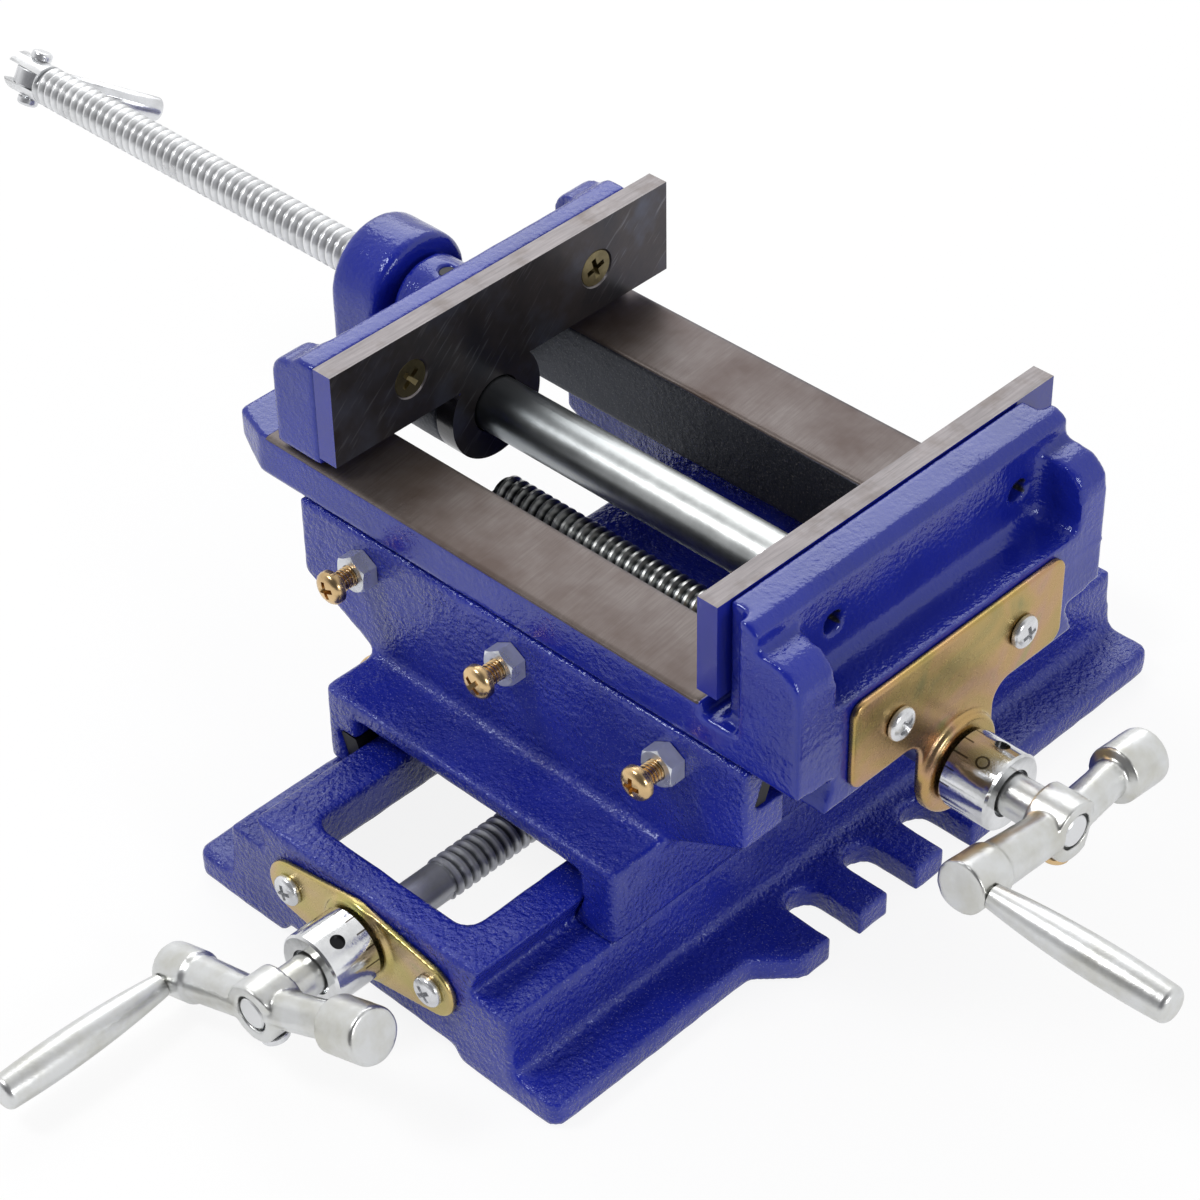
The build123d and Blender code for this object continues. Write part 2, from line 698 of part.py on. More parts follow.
# Vise body casting: two dovetailed rails with a through slot, the arch that holds the vise screw's
# thread, and the fixed jaw with its two ears
body_half = body_width / 2
rail_slot_width = body_width - 2 * rail_width
jaw_back = jaw_seat + jaw_web_thickness
pocket_y = saddle_y + fixed_pocket_shift
pocket_half = body_half - fixed_ear_width
with BuildPart() as vise_body:
    with BuildSketch(across_x(body_left)):
        with BuildLine():
            pad_half = body_half - upper_way_step
            root_half = upper_dovetail_root / 2
            right_rail = [
                (body_half, bed_height),
                (body_half, bed_side_bottom),
                (pad_half, bed_side_bottom),
                (pad_half, bed_pad_bottom),
                (dovetail_edge(root_half, bed_side_bottom, bed_pad_bottom), bed_pad_bottom),
                (dovetail_edge(root_half, bed_side_bottom, upper_dovetail_bottom), upper_dovetail_bottom),
            ]
            left_rail = [(-side, height) for side, height in reversed(right_rail)]
            Polyline([(saddle_y + side, height) for side, height in right_rail + left_rail], close=True)
        make_face()
    extrude(amount=body_right - body_left)
    with BuildSketch(Plane.XY.offset(upper_dovetail_bottom)):
        with Locations(((rail_slot_left + rail_slot_right) / 2, saddle_y)):
            Rectangle(rail_slot_right - rail_slot_left, rail_slot_width)
    extrude(amount=bed_height, mode=Mode.SUBTRACT)
    with BuildSketch(across_y(saddle_y)):
        with BuildLine():
            Polyline(
                (body_left - cut_margin, upper_dovetail_bottom - cut_margin),
                (body_left - cut_margin, bed_side_bottom + body_end_rise),
                (body_left, bed_side_bottom + body_end_rise),
                (body_left + body_end_rise_length, bed_side_bottom),
                (body_left + body_end_rise_length, upper_dovetail_bottom - cut_margin),
                close=True,
            )
        make_face()
    extrude(amount=body_half, both=True, mode=Mode.SUBTRACT)
    with BuildSketch(Plane.XY.offset(bed_side_bottom)):
        for side in (-1, 1):
            with BuildLine():
                edge_y = saddle_y + side * body_half
                Polyline(
                    (body_left, edge_y - side * body_bevel_depth),
                    (body_left + body_bevel_length, edge_y),
                    (body_left, edge_y),
                    close=True,
                )
            make_face()
    extrude(amount=bed_height - bed_side_bottom, mode=Mode.SUBTRACT)
    with BuildSketch(across_x(arch_outer)) as arch:
        with Locations((saddle_y, vise_screw_height)):
            Circle(arch_radius)
            Rectangle(2 * arch_radius, vise_screw_height - arch_foot, align=(Align.CENTER, Align.MAX))
    extrude(amount=rail_slot_left - arch_outer)
    with BuildSketch(across_y(saddle_y)):
        with BuildLine():
            Polyline(
                (jaw_seat, bed_height - cut_margin),
                (jaw_seat, jaw_top),
                (jaw_seat + fixed_rim_thickness, jaw_top),
                (jaw_back, jaw_top - fixed_rim_drop),
                (jaw_back, jaw_ear_height),
                (body_right, jaw_ear_height),
                (body_right, bed_height - cut_margin),
                close=True,
            )
        make_face()
    extrude(amount=body_half, both=True)
    ear_edges = vise_body.edges().filter_by(Axis.Y)
    ear_edges = ear_edges.filter_by_position(Axis.Z, jaw_ear_height, jaw_ear_height)
    fillet(ear_edges.sort_by(Axis.X)[-1], jaw_ear_radius)
    with BuildSketch(Plane.XY.offset(fixed_ledge_height)):
        with Locations((jaw_back, pocket_y)):
            Rectangle(body_right, 2 * pocket_half, align=(Align.MIN, Align.CENTER))
    extrude(amount=jaw_top, mode=Mode.SUBTRACT)
    pocket_corners = vise_body.edges().filter_by(Axis.Z).filter_by_position(Axis.X, jaw_back, jaw_back)
    pocket_span = (pocket_y - pocket_half - seat_fit, pocket_y + pocket_half + seat_fit)
    pocket_corners = pocket_corners.filter_by_position(Axis.Y, *pocket_span)
    pocket_floor = vise_body.edges().filter_by_position(Axis.Z, fixed_ledge_height, fixed_ledge_height)
    pocket_floor = pocket_floor.filter_by(lambda edge: edge.center().X < body_right - seat_fit)
    fillet(pocket_corners + pocket_floor, fixed_pocket_radius)
    with BuildSketch(Plane.XY.offset(jaw_notch_bottom)):
        with Locations(((rail_slot_right + jaw_seat) / 2, saddle_y)):
            Rectangle(jaw_seat - rail_slot_right, body_width)
        with Locations((jaw_seat + jaw_end_notch_length / 2, saddle_y)):
            with GridLocations(1, body_width, 1, 2):
                Rectangle(jaw_end_notch_length, 2 * jaw_end_notch_depth)
    extrude(amount=jaw_top - jaw_notch_bottom, mode=Mode.SUBTRACT)
    with Locations(Plane(origin=(arch_outer, saddle_y, vise_screw_height), z_dir=(-1, 0, 0))):
        Hole(vise_screw_diameter / 2 + thread_fit, rail_slot_left - arch_outer)
    with Locations(Plane(origin=(arch_outer, saddle_y, rod_height), z_dir=(-1, 0, 0))):
        Hole(rod_diameter / 2 + seat_fit, rail_slot_left - arch_outer)
    with Locations(Plane(origin=(rail_slot_right, saddle_y, rod_height), z_dir=(-1, 0, 0))):
        Hole(rod_diameter / 2 + seat_fit, rod_seat_depth)
    with Locations(Plane(origin=(rod_screw_x, saddle_y, arch_foot), z_dir=(0, 0, -1))):
        Hole(rod_set_screw_diameter / 2 + thread_fit, rod_height - arch_foot)
    with Locations(Plane(origin=(jaw_seat, jaw_plate_y, jaw_screw_height), z_dir=(-1, 0, 0))):
        with GridLocations(1, jaw_screw_pitch, 1, 2):
            Hole(jaw_screw_diameter / 2 + thread_fit, jaw_web_thickness)
    with Locations(across_x(body_right)):
        with Locations((saddle_y, upper_plate_screw_height)):
            with GridLocations(upper_plate_screw_pitch, 1, 2, 1):
                Hole(plate_screw_diameter / 2 + thread_fit, plate_hole_depth)
    arch_rim = vise_body.edges().filter_by(GeomType.CIRCLE).filter_by(
        lambda edge: abs(edge.radius - arch_radius) < 0.01
    )
    fillet(arch_rim, arch_edge_radius)
finish(vise_body, "vise_body")

# Guide rod, held in the arch's foot by a set screw from below
rod_left = arch_outer + rod_inset
with BuildPart() as guide_rod:
    with BuildSketch(Plane(origin=(rod_left, saddle_y, rod_height), z_dir=(1, 0, 0))):
        Circle(rod_diameter / 2)
    extrude(amount=rail_slot_right + rod_seat_depth - rod_end_gap - rod_left)
    chamfer(guide_rod.edges().filter_by(GeomType.CIRCLE), rod_chamfer)
finish(guide_rod, "guide_rod")
with BuildPart() as guide_rod_set_screw:
    with BuildSketch(Plane.XY.offset(arch_foot + rod_set_screw_recess)):
        with Locations((rod_screw_x, saddle_y)):
            Circle(rod_set_screw_diameter / 2)
    extrude(amount=rod_height - rod_diameter / 2 - arch_foot - rod_set_screw_recess)
finish(guide_rod_set_screw, "guide_rod_set_screw")


def jaw_plate_sketch(with_lobe):
    """Outline of a jaw plate seen along X, with a lobe round the guide rod on the movable one."""
    with BuildSketch() as outline:
        with Locations((jaw_plate_y, jaw_plate_bottom)):
            Rectangle(jaw_plate_length, jaw_plate_height, align=(Align.CENTER, Align.MIN))
        if with_lobe:
            with Locations((saddle_y, rod_height)):
                Circle(rod_boss_radius)
                Circle(rod_diameter / 2 + rod_plate_gap, mode=Mode.SUBTRACT)
    return outline.sketch


# Jaw plates with countersunk screws
jaw_sink = (jaw_screw_head_diameter - jaw_screw_diameter) / 2
with BuildPart() as fixed_jaw_plate:
    with BuildSketch(across_x(jaw_plate_front)):
        add(jaw_plate_sketch(False))
    extrude(amount=jaw_plate_thickness)
    with Locations(Plane(origin=(jaw_plate_front, jaw_plate_y, jaw_screw_height), z_dir=(-1, 0, 0))):
        with GridLocations(1, jaw_screw_pitch, 1, 2):
            CounterSinkHole(
                jaw_screw_diameter / 2 + screw_seat_fit,
                jaw_screw_head_diameter / 2 + jaw_screw_recess + screw_seat_fit,
                jaw_plate_thickness,
                90,
            )
finish(fixed_jaw_plate, "fixed_jaw_plate")
with BuildPart() as movable_jaw_plate:
    with BuildSketch(across_x(movable_seat)):
        add(jaw_plate_sketch(True))
    extrude(amount=jaw_plate_thickness)
    with Locations(Plane(origin=(movable_front, jaw_plate_y, jaw_screw_height), z_dir=(1, 0, 0))):
        with GridLocations(1, jaw_screw_pitch, 1, 2):
            CounterSinkHole(
                jaw_screw_diameter / 2 + screw_seat_fit,
                jaw_screw_head_diameter / 2 + jaw_screw_recess + screw_seat_fit,
                jaw_plate_thickness,
                90,
            )
finish(movable_jaw_plate, "movable_jaw_plate")

with BuildPart() as jaw_screw:
    with Locations((0, 0, -jaw_screw_recess)):
        Cylinder(jaw_screw_diameter / 2, jaw_screw_length, align=(Align.CENTER, Align.CENTER, Align.MAX))
        Cone(
            jaw_screw_diameter / 2,
            jaw_screw_head_diameter / 2,
            jaw_sink,
            align=(Align.CENTER, Align.CENTER, Align.MAX),
        )
with BuildPart() as fixed_jaw_screws:
    with Locations(Plane(origin=(jaw_plate_front, jaw_plate_y, jaw_screw_height), z_dir=(-1, 0, 0))):
        with GridLocations(1, jaw_screw_pitch, 1, 2):
            add(jaw_screw.part)
finish(fixed_jaw_screws, "fixed_jaw_screws")
with BuildPart() as movable_jaw_screws:
    with Locations(Plane(origin=(movable_front, jaw_plate_y, jaw_screw_height), z_dir=(1, 0, 0))):
        with GridLocations(1, jaw_screw_pitch, 1, 2):
            add(jaw_screw.part)
finish(movable_jaw_screws, "movable_jaw_screws")

# Movable jaw casting: a web between two ears, with bosses for the vise screw and the guide rod
with BuildPart() as movable_jaw:
    with BuildSketch(across_y(saddle_y)) as ear:
        with BuildLine():
            Polyline(
                (movable_seat, movable_jaw_bottom),
                (movable_seat, jaw_top),
                (movable_seat - jaw_rim_thickness, jaw_top),
                (movable_seat - jaw_crease_thickness, movable_ear_height),
                (movable_seat - movable_jaw_depth, movable_ear_height),
                (movable_seat - movable_jaw_depth, movable_jaw_bottom),
                close=True,
            )
        make_face()
        fillet(ear.vertices().group_by(Axis.X)[0].sort_by(Axis.Y)[-1], movable_ear_radius)
    extrude(amount=body_half, both=True)
    with BuildSketch(across_y(saddle_y)):
        with BuildLine():
            Polyline(
                (movable_seat - jaw_web_thickness, movable_jaw_bottom - cut_margin),
                (movable_seat - jaw_web_thickness, jaw_screw_height),
                (movable_seat - jaw_crease_thickness, jaw_crease_height),
                (movable_seat - jaw_rim_thickness, jaw_top),
                (movable_seat - movable_jaw_depth - cut_margin, jaw_top),
                (movable_seat - movable_jaw_depth - cut_margin, movable_jaw_bottom - cut_margin),
                close=True,
            )
        make_face()
    extrude(amount=body_half - jaw_ear_width, both=True, mode=Mode.SUBTRACT)
    with BuildSketch(across_x(boss_back)):
        with Locations((saddle_y, vise_screw_height)):
            Circle(screw_boss_radius)
        with Locations((saddle_y, rod_height)):
            Circle(rod_boss_radius)
        with Locations((saddle_y, (vise_screw_height + rod_height) / 2)):
            Rectangle(2 * screw_boss_radius, vise_screw_height - rod_height)
    extrude(amount=boss_reach)
    with BuildSketch(Plane.XY.offset(bed_height + slide_fit)):
        with Locations((movable_seat - jaw_web_thickness / 2, saddle_y)):
            with GridLocations(1, rail_slot_width + movable_jaw_pad_width + 2 * movable_jaw_pad_inset, 1, 2):
                Rectangle(jaw_web_thickness, movable_jaw_pad_width)
    extrude(amount=movable_jaw_bottom - bed_height)
    with Locations(Plane(origin=(boss_back, saddle_y, vise_screw_height), z_dir=(-1, 0, 0))):
        Hole(neck_diameter / 2 + shaft_fit, neck_length + neck_end_gap)
    with Locations(Plane(origin=(boss_back, saddle_y, rod_height), z_dir=(-1, 0, 0))):
        Hole(rod_diameter / 2 + shaft_fit, boss_reach)
    with Locations((boss_back + retainer_inset, saddle_y, vise_screw_height + screw_boss_radius)):
        Hole(retainer_diameter / 2 + thread_fit, screw_boss_radius)
    with Locations(Plane(origin=(movable_seat, jaw_plate_y, jaw_screw_height), z_dir=(1, 0, 0))):
        with GridLocations(1, jaw_screw_pitch, 1, 2):
            Hole(jaw_screw_diameter / 2 + thread_fit, jaw_web_thickness)
finish(movable_jaw, "movable_jaw")

# Vise screw: thread, grooved neck in the jaw's boss, and a clevis for the folding handle
pivot_direction = Vector(0, 0, 1).rotate(Axis.X, -clevis_tilt)
clevis_plane = Plane(origin=(pivot_x, saddle_y, vise_screw_height), x_dir=(1, 0, 0), z_dir=pivot_direction)
with BuildPart() as vise_screw:
    with BuildSketch(across_y(saddle_y)):
        with BuildLine():
            groove = boss_back + retainer_inset
            half_section = [
                (vise_screw_left, 0),
                (vise_screw_left, vise_screw_diameter / 2 - screw_tip_chamfer),
                (vise_screw_left + screw_tip_chamfer, vise_screw_diameter / 2),
                (boss_back - seat_fit, vise_screw_diameter / 2),
                (boss_back - seat_fit, neck_diameter / 2),
                (groove - neck_groove_width / 2, neck_diameter / 2),
                (groove - neck_groove_width / 2, neck_groove_diameter / 2),
                (groove + neck_groove_width / 2, neck_groove_diameter / 2),
                (groove + neck_groove_width / 2, neck_diameter / 2),
                (boss_back + neck_length, neck_diameter / 2),
                (boss_back + neck_length, 0),
            ]
            Polyline([(x, vise_screw_height + radius) for x, radius in half_section], close=True)
        make_face()
    revolve(axis=Axis((0, saddle_y, vise_screw_height), (1, 0, 0)))
    with BuildSketch(clevis_plane):
        with Locations((-pivot_inset, 0)):
            Rectangle(clevis_length, 2 * vise_screw_diameter, align=(Align.MIN, Align.CENTER))
    extrude(amount=clevis_slot_width / 2, both=True, mode=Mode.SUBTRACT)
    with Locations(clevis_plane.offset(vise_screw_diameter / 2)):
        Hole(pivot_diameter / 2 + seat_fit, vise_screw_diameter)
finish(vise_screw, "vise_screw")

with BuildPart() as screw_retainer:
    with BuildSketch(Plane.XY.offset(vise_screw_height + neck_groove_diameter / 2 + shaft_fit)):
        with Locations((boss_back + retainer_inset, saddle_y)):
            Circle(retainer_diameter / 2)
    extrude(amount=screw_boss_radius - neck_groove_diameter / 2 - retainer_recess)
finish(screw_retainer, "screw_retainer")

# Folding handle: a tongue in the clevis and a round bar that stands out to the side
lever_plane = turned(clevis_plane, lever_angle)
lever_shoulder = lever_plane.from_local_coords((lever_tongue_length, 0, 0))
with BuildPart() as folding_handle:
    with BuildSketch(lever_plane):
        with Locations((lever_tongue_length / 2, 0)):
            SlotOverall(lever_tongue_length + lever_tongue_width, lever_tongue_width)
        Circle(pivot_diameter / 2 + shaft_fit, mode=Mode.SUBTRACT)
    extrude(amount=clevis_slot_width / 2 - lever_tongue_fit, both=True)
    with BuildSketch(Plane(origin=lever_shoulder, z_dir=lever_plane.x_dir)):
        Circle(lever_diameter / 2)
    extrude(amount=lever_length - lever_tongue_length)
    bar_ends = folding_handle.edges().filter_by(GeomType.CIRCLE).sort_by_distance(lever_plane.origin)
    fillet(bar_ends[-1], lever_end_round)
finish(folding_handle, "folding_handle")

with BuildPart() as handle_pivot:
    with BuildSketch(clevis_plane):
        Circle(pivot_diameter / 2)
    extrude(amount=vise_screw_diameter / 2 + pivot_head_gap, both=True)
    for side in (-1, 1):
        with BuildSketch(clevis_plane.offset(side * (vise_screw_diameter / 2 + pivot_head_gap))):
            Circle(pivot_head_diameter / 2)
        extrude(amount=side * pivot_head_height)
    head_rims = handle_pivot.edges().filter_by(GeomType.CIRCLE).group_by(Axis((0, 0, 0), pivot_direction))
    fillet(head_rims[0] + head_rims[-1], pivot_head_round)
finish(handle_pivot, "handle_pivot")


def leadscrew(length):
    """Leadscrew along -Z from its bearing shoulder at z = 0, with its neck running out along +Z."""
    with BuildPart() as screw:
        with BuildSketch(Plane.XZ):
            with BuildLine():
                Polyline(
                    (0, -length),
                    (leadscrew_diameter / 2 - leadscrew_tip_chamfer, -length),
                    (leadscrew_diameter / 2, -length + leadscrew_tip_chamfer),
                    (leadscrew_diameter / 2, -seat_fit),
                    (leadscrew_neck_diameter / 2, -seat_fit),
                    (leadscrew_neck_diameter / 2, crank_reach - leadscrew_end_recess),
                    (0, crank_reach - leadscrew_end_recess),
                    close=True,
                )
            make_face()
        revolve(axis=Axis.Z)
    return screw.part


with BuildPart() as lower_leadscrew:
    with Locations(lower_crank_plane):
        add(leadscrew(base_half + lower_plate_rise + lower_screw_end))
finish(lower_leadscrew, "lower_leadscrew")
with BuildPart() as upper_leadscrew:
    with Locations(upper_crank_plane):
        add(leadscrew(body_right + upper_plate_rise - upper_screw_end))
finish(upper_leadscrew, "upper_leadscrew")

# Upper bearing plate, with a lobe that hangs below the vise body round the screw's neck
with BuildPart() as upper_bearing_plate:
    with BuildSketch(across_x(body_right)) as plate:
        with Locations((saddle_y, upper_plate_bottom)):
            Rectangle(
                upper_plate_width, upper_plate_top - upper_plate_bottom, align=(Align.CENTER, Align.MIN)
            )
        fillet(plate.vertices(), upper_plate_corner_radius)
        with Locations((saddle_y, upper_screw_height)):
            Rectangle(
                2 * upper_plate_lobe_radius,
                upper_plate_bottom - upper_screw_height,
                align=(Align.CENTER, Align.MIN),
            )
            Circle(upper_plate_lobe_radius)
        inner_corners = plate.vertices().sort_by_distance((saddle_y, upper_plate_bottom))[:2]
        fillet(inner_corners, upper_plate_fillet)
        with Locations((saddle_y, upper_screw_height)):
            Circle(upper_plate_lobe_radius - plate_thickness, mode=Mode.SUBTRACT)
        with Locations((saddle_y, upper_plate_screw_height)):
            with GridLocations(upper_plate_screw_pitch, 1, 2, 1):
                Circle(plate_screw_diameter / 2 + screw_seat_fit, mode=Mode.SUBTRACT)
    extrude(amount=plate_thickness)
    outer_rim = upper_bearing_plate.faces().sort_by(Axis.X)[-1].outer_wire().edges()
    fillet(outer_rim, plate_edge_round)
    with Locations(upper_end):
        add(raised_middle(upper_plate_lobe_radius, upper_plate_rise))
finish(upper_bearing_plate, "upper_bearing_plate")
with BuildPart() as upper_plate_screws:
    with Locations(across_x(body_right + plate_thickness)):
        with Locations((saddle_y, upper_plate_screw_height)):
            with GridLocations(upper_plate_screw_pitch, 1, 2, 1):
                add(plate_screw)
finish(upper_plate_screws, "upper_plate_screws")


def dial_collar():
    """Dial collar round the screw's neck, with a recess in its front face and a grub screw hole."""
    with BuildPart() as collar:
        with BuildSketch(Plane.XY.offset(plate_thickness + collar_gap)):
            Circle(collar_diameter / 2)
        extrude(amount=collar_length)
        chamfer(collar.edges().filter_by(GeomType.CIRCLE), collar_chamfer)
        with Locations((0, 0, plate_thickness + collar_gap + collar_length)):
            CounterBoreHole(
                leadscrew_neck_diameter / 2 + seat_fit,
                collar_recess_diameter / 2,
                collar_recess_depth,
                collar_length,
            )
        with Locations(Plane(origin=(0, collar_diameter / 2, collar_screw_height), z_dir=(0, 1, 0))):
            Hole(collar_screw_diameter / 2 + thread_fit, collar_diameter / 2)
    return collar.part


def collar_set_screw():
    """Grub screw that holds a dial collar on its neck."""
    with BuildPart() as grub:
        neck_side = (0, leadscrew_neck_diameter / 2 + seat_fit, collar_screw_height)
        with BuildSketch(Plane(origin=neck_side, z_dir=(0, 1, 0))):
            Circle(collar_screw_diameter / 2)
        extrude(amount=(collar_diameter - leadscrew_neck_diameter) / 2 - collar_screw_recess)
    return grub.part


def crank():
    """Crank with its hub on the Z axis, its handle head along +X and its counterweight along -X."""
    arm_z = crank_reach - crank_arm_inset
    sleeve_z = plate_thickness + collar_gap + collar_length - collar_recess_depth + crank_sleeve_gap
    head_start = crank_head_end - crank_head_length
    weight_start = weight_end - weight_length
    with BuildPart() as arm:
        with BuildSketch(Plane(origin=(0, 0, arm_z), x_dir=(1, 0, 0), z_dir=(0, -1, 0))):
            with BuildLine():
                Polyline(
                    (-weight_end, 0),
                    (-weight_end, weight_diameter / 2),
                    (-weight_start, weight_diameter / 2),
                    (crank_taper - weight_start, weight_arm_diameter / 2),
                    (0, weight_arm_diameter / 2),
                    (0, crank_arm_root_diameter / 2),
                    (head_start - crank_taper, crank_arm_tip_diameter / 2),
                    (head_start, crank_head_diameter / 2),
                    (crank_head_end, crank_head_diameter / 2),
                    (crank_head_end, 0),
                    close=True,
                )
            make_face()
        revolve(axis=Axis((0, 0, arm_z), (1, 0, 0)))
        rims = arm.edges().filter_by(GeomType.CIRCLE).group_by(Axis.X)
        fillet(rims[0] + rims[-1], crank_edge_radius)
        with BuildSketch(Plane.XY.offset(crank_reach - crank_hub_length)):
            Circle(crank_hub_diameter / 2)
        extrude(amount=crank_hub_length)
        with BuildSketch(Plane.XY.offset(sleeve_z)):
            Circle(crank_sleeve_diameter / 2)
        extrude(amount=arm_z - sleeve_z)
        with Locations((0, 0, crank_reach)):
            Hole(leadscrew_neck_diameter / 2 + seat_fit, crank_reach)
        with Locations((crank_radius, 0, arm_z + crank_head_diameter / 2)):
            Hole(handle_tenon_diameter / 2 + seat_fit, handle_tenon_length + handle_socket_spare)
        with Locations(Plane(origin=(0, crank_hub_diameter / 2, arm_z), z_dir=(0, 1, 0))):
            Hole(crank_screw_diameter / 2 + thread_fit, crank_hub_diameter / 2)
    return arm.part


def crank_handle():
    """Tapered handle that stands on the crank's head along +Z, with its tenon in the head."""
    with BuildPart() as grip:
        with BuildSketch(Plane.XZ):
            with BuildLine():
                swell = handle_swell_share * handle_length
                Polyline(
                    (0, -handle_tenon_length),
                    (handle_tenon_diameter / 2, -handle_tenon_length),
                    (handle_tenon_diameter / 2, seat_fit),
                    (handle_root_diameter / 2, seat_fit),
                )
                Spline(
                    (handle_root_diameter / 2, seat_fit),
                    (handle_swell_diameter / 2, swell),
                    (handle_end_diameter / 2, handle_length),
                )
                Polyline(
                    (handle_end_diameter / 2, handle_length), (0, handle_length), (0, -handle_tenon_length)
                )
            make_face()
        revolve(axis=Axis.Z)
        fillet(grip.edges().filter_by(GeomType.CIRCLE).sort_by(Axis.Z)[-1], handle_edge_radius)
    return grip.part


handle_foot = (crank_radius, 0, crank_reach - crank_arm_inset + crank_head_diameter / 2)
crank_screw = headed_screw(
    crank_screw_diameter,
    (crank_hub_diameter - leadscrew_neck_diameter) / 2 - seat_fit,
    crank_screw_head_diameter,
    crank_screw_head_height,
)
for side, crank_plane, shaft_plane, collar_angle in (
    ("lower", lower_crank_plane, lower_shaft, lower_collar_angle),
    ("upper", upper_crank_plane, upper_shaft, upper_collar_angle),
):
    with BuildPart() as collar:
        with Locations(turned(shaft_plane, collar_angle)):
            add(dial_collar())
    finish(collar, f"{side}_dial_collar")
    with BuildPart() as grub:
        with Locations(turned(shaft_plane, collar_angle)):
            add(collar_set_screw())
    finish(grub, f"{side}_collar_set_screw")
    with BuildPart() as arm:
        with Locations(crank_plane):
            add(crank())
    finish(arm, f"{side}_crank")
    with BuildPart() as grip:
        with Locations(crank_plane):
            with Locations(handle_foot):
                add(crank_handle())
    finish(grip, f"{side}_crank_handle")
    with BuildPart() as screw:
        with Locations(crank_plane):
            with Locations(Location((0, crank_hub_diameter / 2, crank_reach - crank_arm_inset), (-90, 0, 0))):
                add(crank_screw)
    finish(screw, f"{side}_crank_screw")
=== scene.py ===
import json
import math

import bmesh
import bpy
import numpy as np
from mathutils import Matrix, Vector, noise


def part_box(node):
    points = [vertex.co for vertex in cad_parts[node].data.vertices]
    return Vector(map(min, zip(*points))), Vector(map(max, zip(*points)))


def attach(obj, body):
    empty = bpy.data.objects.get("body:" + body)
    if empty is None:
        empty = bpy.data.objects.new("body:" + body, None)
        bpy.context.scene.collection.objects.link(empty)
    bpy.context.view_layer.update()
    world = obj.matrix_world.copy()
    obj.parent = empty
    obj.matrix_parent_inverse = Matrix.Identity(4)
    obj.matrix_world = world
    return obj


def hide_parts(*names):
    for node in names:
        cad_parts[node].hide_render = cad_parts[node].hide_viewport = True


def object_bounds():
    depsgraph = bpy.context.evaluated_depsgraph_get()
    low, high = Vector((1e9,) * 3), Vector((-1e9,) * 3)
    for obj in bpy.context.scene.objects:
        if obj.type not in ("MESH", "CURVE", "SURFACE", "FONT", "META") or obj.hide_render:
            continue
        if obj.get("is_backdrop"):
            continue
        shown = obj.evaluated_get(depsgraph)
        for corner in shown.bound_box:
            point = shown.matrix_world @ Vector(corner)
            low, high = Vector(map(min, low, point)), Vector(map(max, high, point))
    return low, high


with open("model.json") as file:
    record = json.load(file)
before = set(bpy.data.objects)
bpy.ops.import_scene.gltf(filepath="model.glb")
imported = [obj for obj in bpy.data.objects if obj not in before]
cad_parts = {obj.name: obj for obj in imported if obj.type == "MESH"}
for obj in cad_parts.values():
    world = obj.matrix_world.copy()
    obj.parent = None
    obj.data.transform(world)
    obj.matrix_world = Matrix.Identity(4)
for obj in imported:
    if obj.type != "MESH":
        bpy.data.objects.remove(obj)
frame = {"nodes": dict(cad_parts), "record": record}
cad_low, cad_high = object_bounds()
nodes = frame["nodes"]
MM = 0.001

# Places and sizes that the pieces share, in millimetres in the row frame
AXIS_Y = -7.3  # vise screw and upper leadscrew
VISE_Z = 121.3
UPPER_Z = 68.4
LOWER_Z = 22.8
BED_TOP = 104.6
CLEVIS_END = -251.6
BOSS_BACK = -89.3
PITCH = 3.0
SCREW_RADIUS = 6.0
THREAD_DEPTH = 1.15
SHANK_RADIUS = 5.5
NECK_RADIUS = 5.0
LOWER_NECK = 122.1  # start of the leadscrew's plain neck, along its way out
UPPER_NECK = 98.0
CRANK_BORE_FIT = 0.15
WEB_HOLES = ((-37.4, 123.4), (32.1, 123.4))  # y and z of the empty threaded holes
WEB_HOLE_START = 73.0
WEB_HOLE_LENGTH = 14.0
WEB_HOLE_RADIUS = 2.7

# Thread profile: (share of the pitch, share of the depth)
THREAD_FORM = ((0.06, 0.0), (0.34, 1.0), (0.60, 1.0), (0.88, 0.0))

# Round tongue of the folding handle, in millimetres
TONGUE_RADIUS = 6.0
TONGUE_HALF = 2.55
TONGUE_BEVEL = 0.3
PIVOT_RADIUS = 2.2

# How the solid's crank is reshaped to the photo's, fitted to it; lengths in millimetres
HEAD_TRIM = 38.1
HEAD_CUT = 0.735
WEIGHT_SHARE = 0.886
WEIGHT_FIT = 1.08
WEIGHT_SET_BACK = 2.6
SET_BACK_RUN = 8.0
SET_BACK_SLOPE = 0.025

# Machined faces of a casting: how near a point has to be, and how much it still smooths
MACHINED_NEAR = 0.35
MACHINED_PULL = 0.12
CAST_PULL = 0.5

# Paint, with linear colours
PAINT_DEEP = (0.0055, 0.0110, 0.190)
PAINT_LIGHT = (0.0095, 0.0175, 0.285)
# light colour of the specks: painted highlights that stand in for glints on the cast grain
PAINT_GLINT_SPECK = (0.28, 0.29, 0.46)
PAINT_IOR = 1.58
PAINT_GLINT = (0.74, 0.82, 1.0, 1.0)
PAINT_RELIEF = 0.00085
# near-black of the plate's lobe: unpainted steel with painted shade under the jaw
LOBE_UNPAINTED_AND_SHADE = (0.012, 0.011, 0.013)

# Boxes (low, high) in millimetres: milled rails, dark unpainted walls of the slot, and painted
# shade inside the web's holes and round the movable jaw's boss
BED_BOX = ((-91.5, -66, 103.5), (64.2, 52, 105.2))
SLOT_BOX = ((-91.6, -41.2, 55), (65.8, 26.8, 103.9))
HOLE_SHADE_BOXES = [((72.0, y - 3.0, z - 3.0), (82.1, y + 3.0, z + 3.0)) for y, z in WEB_HOLES]
JAW_BOSS_SHADE_BOX = ((-95.0, -32.0, 70.0), (-68.0, 18.0, 108.0))

# Threads: colour of the plain neck, and the radius below which the painted shade in the roots is
# darkest
NECK_BRIGHT = (0.70, 0.71, 0.72)
ROOT_RADIUS = 4.9

